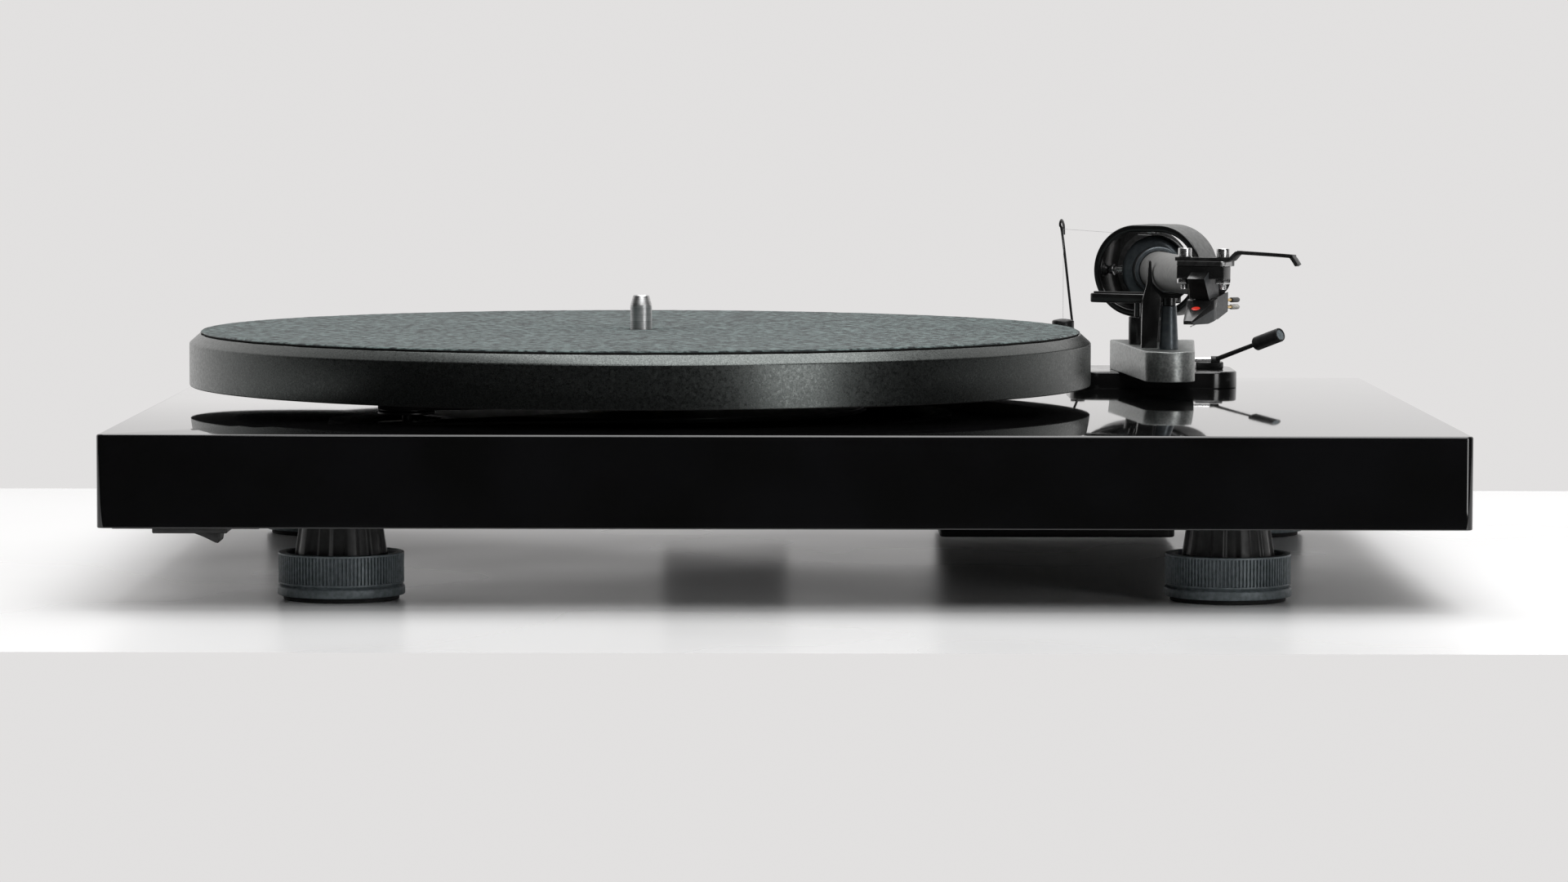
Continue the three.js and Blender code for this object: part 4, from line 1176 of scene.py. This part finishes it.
def make_inner_ring():
    """A torus-like ring round the tube, its bush, and the two needles on its axis."""
    swell = []
    for k in range(13):
        angle = -math.pi / 2 + math.pi * k / 12
        swell.append((9.6 + 2.8 * math.cos(angle), 4 * math.sin(angle)))
    wheel_profile = [(0, -4)] + swell + [(0, 4)]
    wheel = revolve("inner_ring_gloss", wheel_profile, INNER_FRAME @ LIE_ALONG_Y, 96)
    for side in (-1, 1):
        needle = fillet([(0, 0), (1.5, 0), (1.5, 3.2), (0.08, 5.6), (0, 5.6)], 0.15)
        place = INNER_FRAME @ at(side * 11.2, 0) @ Matrix.Rotation(side * math.pi / 2, 4, "Y")
        join(wheel, revolve("needle", needle, place, 32))
    bush = fillet([(0, -12.5), (8.4, -12.5), (8.4, 12.5), (0, 12.5)], 0.5)
    join(wheel, revolve("bush", bush, ALONG_TUBE, 96))
    cut(wheel, revolve("tool", [(0, -30), (7.1, -30), (7.1, 30), (0, 30)], ALONG_TUBE, 96))
    dress(wheel, POST, "tonearm", "slate_metal", "gimbal_inner_ring")
    to_tube = TUBE_FRAME.inverted()
    to_ring = INNER_FRAME.inverted()

    def on_bush(centre, normal):
        spot = to_tube @ centre
        return math.hypot(spot.x, spot.z) < 8.5 and spot.y > -12.1

    second_material(wheel, PLASTIC, on_bush)
    second_material(wheel, CHROME, lambda c, n: abs((to_ring @ c).x) > 12.6)


# ---------------------------------------------------------------- arm tube and headshell

TUBE_END = 20.3


def make_arm_tube():
    profile = [(0, -206), (5.5, -206), (6.8, -14.5), (6.8, 14), (4.7, 14), (4.7, -184), (0, -184)]
    tube = revolve("arm_tube_satin", fillet(profile, 0.25), ALONG_TUBE, 96, sharp=50)
    end_tool = prism("tool", box_outline(-40, 40, -60, TUBE_END), -20, 20, 0.0, SHELL_FRAME)
    slot_tool = prism("tool", box_outline(-4.3, 4.3, -60, 26.3), 4.0, 20, 0.0, SHELL_FRAME)
    cut(tube, end_tool, slot_tool)
    dress(tube, TUBE_PAINT, "tonearm", "tube_metal", "arm_tube")
    # Painted highlight: the tube's end face takes the bright metal, for a bright rim where it meets the
    # headshell.
    second_material(tube, PAINTED_HIGHLIGHT_PLATE, lambda c, n: (TO_SHELL @ c).y < TUBE_END + 0.05)


def mounting_holes(low, high):
    places = [circle(1.5, side * SCREW_SIDE, SCREW_BACK, 32) for side in (-1, 1)]
    return [prism("tool", outline, low, high, 0.0, SHELL_FRAME) for outline in places]


def make_headshell():
    outline = [
        (-7.4, 6.7),
        (7.4, 6.7),
        (8.2, 7.5),
        (8.2, 13),
        (4, 19.9),
        (4, 26),
        (-4, 26),
        (-4, 19.9),
        (-8.2, 13),
        (-8.2, 7.5),
    ]
    outline = fillet(outline, 0.5, closed=True)
    plate = prism("headshell_plate", outline, 4.3, 5.9, 0.25, SHELL_FRAME, steps=3)
    cut(plate, *mounting_holes(0, 20))
    dress(plate, DARK_PLATE, "tonearm", "dark_metal", "headshell")

    # Painted highlight: the plate's right front and right side take a bright copy of its dark metal.
    def painted_highlight_front(centre, normal):
        spot = TO_SHELL @ centre
        return spot.y < 7.0 and spot.x > 0.8 or spot.x > 7.9 and spot.y < 13

    second_material(plate, PAINTED_HIGHLIGHT_PLATE, painted_highlight_front)


def make_finger_lift():
    """A flat strip that steps up, runs out to the right, and turns down at its tip."""
    rise = [(-8.6, 6.48), (7.6, 6.48), (9.4, 6.6), (11.6, 8.6), (13.4, 8.66)]
    middle = rise + [(28.3, 7.92), (29.6, 7.4), (31.3, 5.1)]
    path = smooth_path([(x, 0, z) for x, z in middle], 8)
    rings = []
    for i, point in enumerate(path):
        ahead = path[min(i + 1, len(path) - 1)] - path[max(i - 1, 0)]
        normal = Vector((-ahead.z, 0, ahead.x)).normalized() * 0.55
        share = min(1.0, max(0.0, (point.x - 8.5) / 5))
        width = 2.6 - 0.95 * share
        ring = []
        for dy, side in ((-1, -1), (1, -1), (1, 1), (-1, 1)):
            spot = point + normal * side
            ring.append((spot.x, SCREW_BACK + dy * width, spot.z))
        rings.append(ring)
    strip = loft("finger_lift_strip", rings, SHELL_FRAME)
    cut(strip, *mounting_holes(0, 20))
    ease(strip, 0.2, 3)
    dress(strip, DARK_PLATE, "tonearm", "dark_metal", "finger_lift")


def make_screws():
    for side, word in ((-1, "left"), (1, "right")):
        centre = SHELL_FRAME @ at(side * SCREW_SIDE, SCREW_BACK)

        def threaded(radius, height, angle):
            if radius > 1.25 or height > -1.3:
                return radius
            return radius + 0.07 * math.cos(TAU * height / 0.45 - angle)

        shank = [(0, -3), (0.9, -3)] + [(1.13, -2.8 + 0.09 * k) for k in range(17)]
        head = fillet([(1.2, -1.3), (1.2, 7.05), (2.1, 7.05), (2.1, 9.85), (0, 9.85)], 0.2)

        def gripped(radius, height, angle):
            if radius > 2.05 and 7.4 < height < 9.5:
                return radius - 0.06 + 0.06 * math.cos(28 * angle)
            return threaded(radius, height, angle)

        profile = shank + head[:-1] + [(1.05, 9.85), (1.0, 9.75), (1.0, 8.6), (0, 8.5)]
        screw = revolve(f"headshell_screw_turned_{word}", profile, centre, 112, ripple=gripped)
        nut = prism("nut", circle(2.5, count=6), -1.2, 0.3, 0.25, centre, steps=2)
        join(screw, nut)
        dress(screw, CHROME, "tonearm", "chrome", f"headshell_screw_{word}")


# Stands a (y, z) outline up across X in the headshell's frame.
ACROSS = Matrix(((0, 0, 1, 0), (1, 0, 0, 0), (0, 1, 0, 0), (0, 0, 0, 1)))


def make_cartridge():
    """A flange under the headshell, a neck that leans back, and a slab behind the stylus."""
    neck = [
        (3.4, 0.4),
        (6.9, 2.4),
        (14.2, 2.4),
        (15.4, -4.6),
        (10.6, -6.2),
        (10.6, -5.2),
        (7.9, -5.95),
    ]
    slab = [(10.6, -5.6), (19.2, -3.9), (19.2, -9.6), (10.6, -12)]
    body = block("cartridge_moulded", -7.9, 7.9, 6.9, 12.8, 0.4, 4.3, 0.3, SHELL_FRAME)
    join(
        body,
        prism("neck", neck, -2.9, 2.9, 0.2, SHELL_FRAME @ ACROSS, steps=2),
        prism("slab", fillet(slab, 0.25, closed=True), -4.5, 4.5, 0.25, SHELL_FRAME @ ACROSS, steps=2),
    )
    cut(body, *mounting_holes(-20, 20))
    dress(body, GLOSS, "tonearm", "black_plastic", "cartridge_body")
    second_material(body, CARTRIDGE_GREY, right_panel)


def right_panel(centre, normal):
    """The grey panels on the cartridge's right side, below a black upper rim."""
    spot = TO_SHELL @ centre
    faces_right = (TO_SHELL.to_3x3() @ normal).x > 0.8
    on_neck = 2.4 < spot.x < 3.2 and spot.z < 0.4
    rim = -12.9 + 0.4 * (spot.y + 2)
    return faces_right and (on_neck or spot.z < rim and spot.y > -1.2)


def make_stylus_unit():
    plan = fillet([(-1.4, -2.8), (1.4, -2.8), (4.5, 8), (4.5, 12), (-4.5, 12), (-4.5, 8)], 0.4, closed=True)
    unit = prism("stylus_unit_moulded", plan, -16, -2, 0.0, SHELL_FRAME)
    upper = [(-2.8, -12.6), (7.8, -6.4), (10.3, -5.7)]
    lower = [(10.3, -12.1), (5.2, -13.5), (-1.6, -13.7), (-2.8, -13.1)]
    profile = fillet(upper + lower, 0.25, closed=True)
    combine(unit, [prism("tool", profile, -6, 6, 0.0, SHELL_FRAME @ ACROSS)], "INTERSECT")
    split_along_rim(unit)
    ease(unit, 0.18, 2)
    dress(unit, GLOSS, "tonearm", "cartridge_grey", "stylus_unit")
    second_material(unit, CARTRIDGE_GREY, right_panel)
    slope = math.atan2(6.2, 10.6)
    spot_place = SHELL_FRAME @ at(0.1, 3.6, -8.86) @ Matrix.Rotation(slope, 4, "X")
    oval = [(x * 1.3, y) for x, y in circle(1.05, count=40)]
    dot = prism("cartridge_dot", oval, 0, 0.14, 0.05, spot_place, steps=2)
    dress(dot, RED, "tonearm", "cartridge_grey")


def split_along_rim(obj):
    """Adds an edge where the grey panel meets the black rim."""
    mesh = bmesh.new()
    mesh.from_mesh(obj.data)
    turn = SHELL_FRAME.to_3x3()
    point = (SHELL_FRAME @ Vector((0, -2, -12.9))) * MM
    normal = turn @ Vector((0, -0.4, 1)).normalized()
    everything = mesh.verts[:] + mesh.edges[:] + mesh.faces[:]
    bmesh.ops.bisect_plane(mesh, geom=everything, plane_co=point, plane_no=normal)
    mesh.to_mesh(obj.data)
    mesh.free()


def make_cantilever():
    path = smooth_path([(0, 3.6, -13.78), (0, 1.6, -14.06), (0, -0.3, -14.3)], 6)
    beam = sweep("cantilever_fine", path, [0.16 - 0.004 * k for k in range(len(path))], SHELL_FRAME, 12)
    tip_profile = [(0, 0), (0.13, 0), (0.1, 0.2), (0, 0.35)]
    join(beam, rod("tip", (0, 0, -14.25), (0, 0, -14.6), tip_profile, SHELL_FRAME, 12))
    dress(beam, ALUMINIUM, "tonearm", "aluminium", "cantilever")


PIN_PLACES = [(x, z) for x in (-3.1, 3.1) for z in (-8.5, -6.3)]


def make_pins_and_leads():
    carrier = block("cartridge_pins_gold", -4, 4, 19.2, 20, -9.3, -5.5, 0.2, SHELL_FRAME)
    for x, z in PIN_PLACES:
        join(carrier, rod("pin", (x, 19.6, z), (x, 26.6, z), bar_profile(0.5, 7, 0.15), SHELL_FRAME, 24))
    dress(carrier, BRASS, "tonearm", "brass", "cartridge_pins")
    second_material(carrier, GLOSS, lambda c, n: (TO_SHELL @ c).y < 20.01)

    coats = (WHITE_LEAD, BLACK_LEAD, WHITE_LEAD, BLACK_LEAD)
    for k, ((x, z), coat) in enumerate(zip(PIN_PLACES, coats)):
        lean = -5.9 - 0.35 * k
        points = [
            (lean, 15.2 + 0.3 * (k % 2), -0.3 - 0.5 * k),
            (lean - 0.5, 15.9, -4.2),
            (lean - 0.6, 18.6, -7.2 - 0.3 * k),
            (-6.4 - 0.2 * k, 26, -8.4 + 0.3 * k),
            (-5.2 if x < 0 else 0.4, 32.4, z + 0.1),
            (x, 32, z),
            (x, 30.4, z),
        ]
        lead = sweep(f"cartridge_lead_{k + 1}", smooth_path(points, 8), 0.28, SHELL_FRAME, 10)
        join(lead, rod("sleeve", (x, 25.4, z), (x, 31.2, z), bar_profile(0.8, 5.8, 0.25), SHELL_FRAME, 24))
        dress(lead, coat, "tonearm", "rubber", "lead_bundle")


def make_counterweight():
    profile = [(0, 6), (4.4, 6), (4.4, 14.3), (6.8, 14.3), (6.8, 17), (3.2, 18), (3.2, 52), (0, 52)]
    stub = revolve("balance_stub_turned", fillet(profile, 0.3), ALONG_TUBE, 64)
    dress(stub, ALUMINIUM, "tonearm", "aluminium", "counterweight_stub")

    def gripped(radius, height, angle):
        if radius > 14.3 and 27.5 < height < 31.5:
            return radius - 0.15 + 0.15 * math.cos(60 * angle)
        return radius

    ring = fillet([(3.26, 26), (14.5, 26), (14.5, 46), (3.26, 46)], 0.7, closed=True)
    fine = []
    for spot, following in zip(ring, ring[1:] + ring[:1]):
        fine.append(spot)
        if spot[0] > 14.4 and following[0] > 14.4 and following[1] - spot[1] > 10:
            fine += [(14.5, h) for h in (27.3, 27.6, 31.4, 31.7)]
            fine += [(14.2, 32), (14.2, 32.4), (14.5, 32.7)]
    weight = revolve("balance_weight_turned", fine, ALONG_TUBE, 360, closed=True, ripple=gripped)
    dress(weight, DARK_PLATE, "balance_weight", "dark_metal", "counterweight")


# ---------------------------------------------------------------- stage


def make_floor():
    corners = [(x, y, 0) for x, y in box_outline(-2600, 2600, -272, 326)]
    floor = piece("studio_floor", corners, [(0, 1, 2, 3)])
    paint = Paint("studio_floor", grey(0.82), 0.3)
    paint.color(paint.noise(3), grey(0.8), grey(0.84))
    paint.rough(paint.noise(6), 0.24, 0.34)
    floor.data.materials.append(paint.material)


def area_light(name, place, target, size, power):
    data = bpy.data.lights.new(name, "AREA")
    data.shape = "RECTANGLE"
    data.size, data.size_y = size
    data.energy = power
    light = bpy.data.objects.new(name, data)
    light.location = place
    light.rotation_euler = (Vector(target) - Vector(place)).to_track_quat("-Z", "Y").to_euler()
    bpy.context.collection.objects.link(light)


def make_lights():
    area_light("top_softbox", (0.2, 0.1, 1.6), (0, 0, 0), (1.9, 1.3), 30)
    area_light("front_top_softbox", (0.25, -1.35, 1.35), (0, 0, 0.05), (1.4, 0.8), 14)
    area_light("front_right_card", (0.95, -1.25, 0.16), (-0.02, -0.05, 0.07), (0.42, 0.7), 3.6)


def make_world():
    """Pale all round for the camera, and for reflections pale behind the object and dark in front of it."""
    world = bpy.data.worlds.new("studio")
    bpy.context.scene.world = world
    world.use_nodes = True
    tree = world.node_tree
    background = tree.nodes["Background"]
    direction = tree.nodes.new("ShaderNodeTexCoord").outputs["Generated"]
    parts = tree.nodes.new("ShaderNodeSeparateXYZ")
    tree.links.new(direction, parts.inputs["Vector"])
    ramp = tree.nodes.new("ShaderNodeMapRange")
    ramp.interpolation_type = "SMOOTHSTEP"
    set_inputs(ramp, {"From Min": -0.1, "From Max": 0.75, "To Min": 0.012, "To Max": 0.86})
    tree.links.new(parts.outputs["Y"], ramp.inputs["Value"])
    rays = tree.nodes.new("ShaderNodeLightPath")
    mix = tree.nodes.new("ShaderNodeMix")
    mix.data_type = "FLOAT"
    tree.links.new(rays.outputs["Is Camera Ray"], mix.inputs[0])
    tree.links.new(ramp.outputs["Result"], mix.inputs[2])
    mix.inputs[3].default_value = 0.76
    tree.links.new(mix.outputs[0], background.inputs["Strength"])
    background.inputs["Color"].default_value = (1.0, 0.985, 0.98, 1)


def make_camera():
    data = bpy.data.cameras.new("camera")
    data.lens = 121.6
    data.sensor_width = 36
    data.clip_start = 0.05
    data.clip_end = 60
    camera = bpy.data.objects.new("camera", data)
    pitch = Matrix.Rotation(math.radians(90 - 3.8935), 4, "X")
    yaw = Matrix.Rotation(math.radians(0.02), 4, "Z")
    roll = Matrix.Rotation(math.radians(0.103), 4, "Z")
    camera.matrix_world = at(0.0003, -1.7575, 0.1611) @ yaw @ pitch @ roll
    bpy.context.collection.objects.link(camera)
    bpy.context.scene.camera = camera
    bpy.context.scene.view_settings.view_transform = "Standard"


# ---------------------------------------------------------------- assembly

make_camera()
make_world()
make_lights()
make_floor()
make_plinth()
for foot_name, (foot_x, foot_y) in FEET.items():
    make_foot(foot_name, foot_x, foot_y)
make_bearing()
make_spindle()
make_sub_platter()
make_platter()
make_mat()
make_belt()
make_motor()
make_switch()
make_sockets()
make_arm_base()
make_arm_rest()
make_cueing()
make_anti_skate()
make_gimbal_ring()
make_skate_stub()
make_inner_ring()
make_arm_tube()
make_headshell()
make_finger_lift()
make_screws()
make_cartridge()
make_stylus_unit()
make_cantilever()
make_pins_and_leads()
make_counterweight()
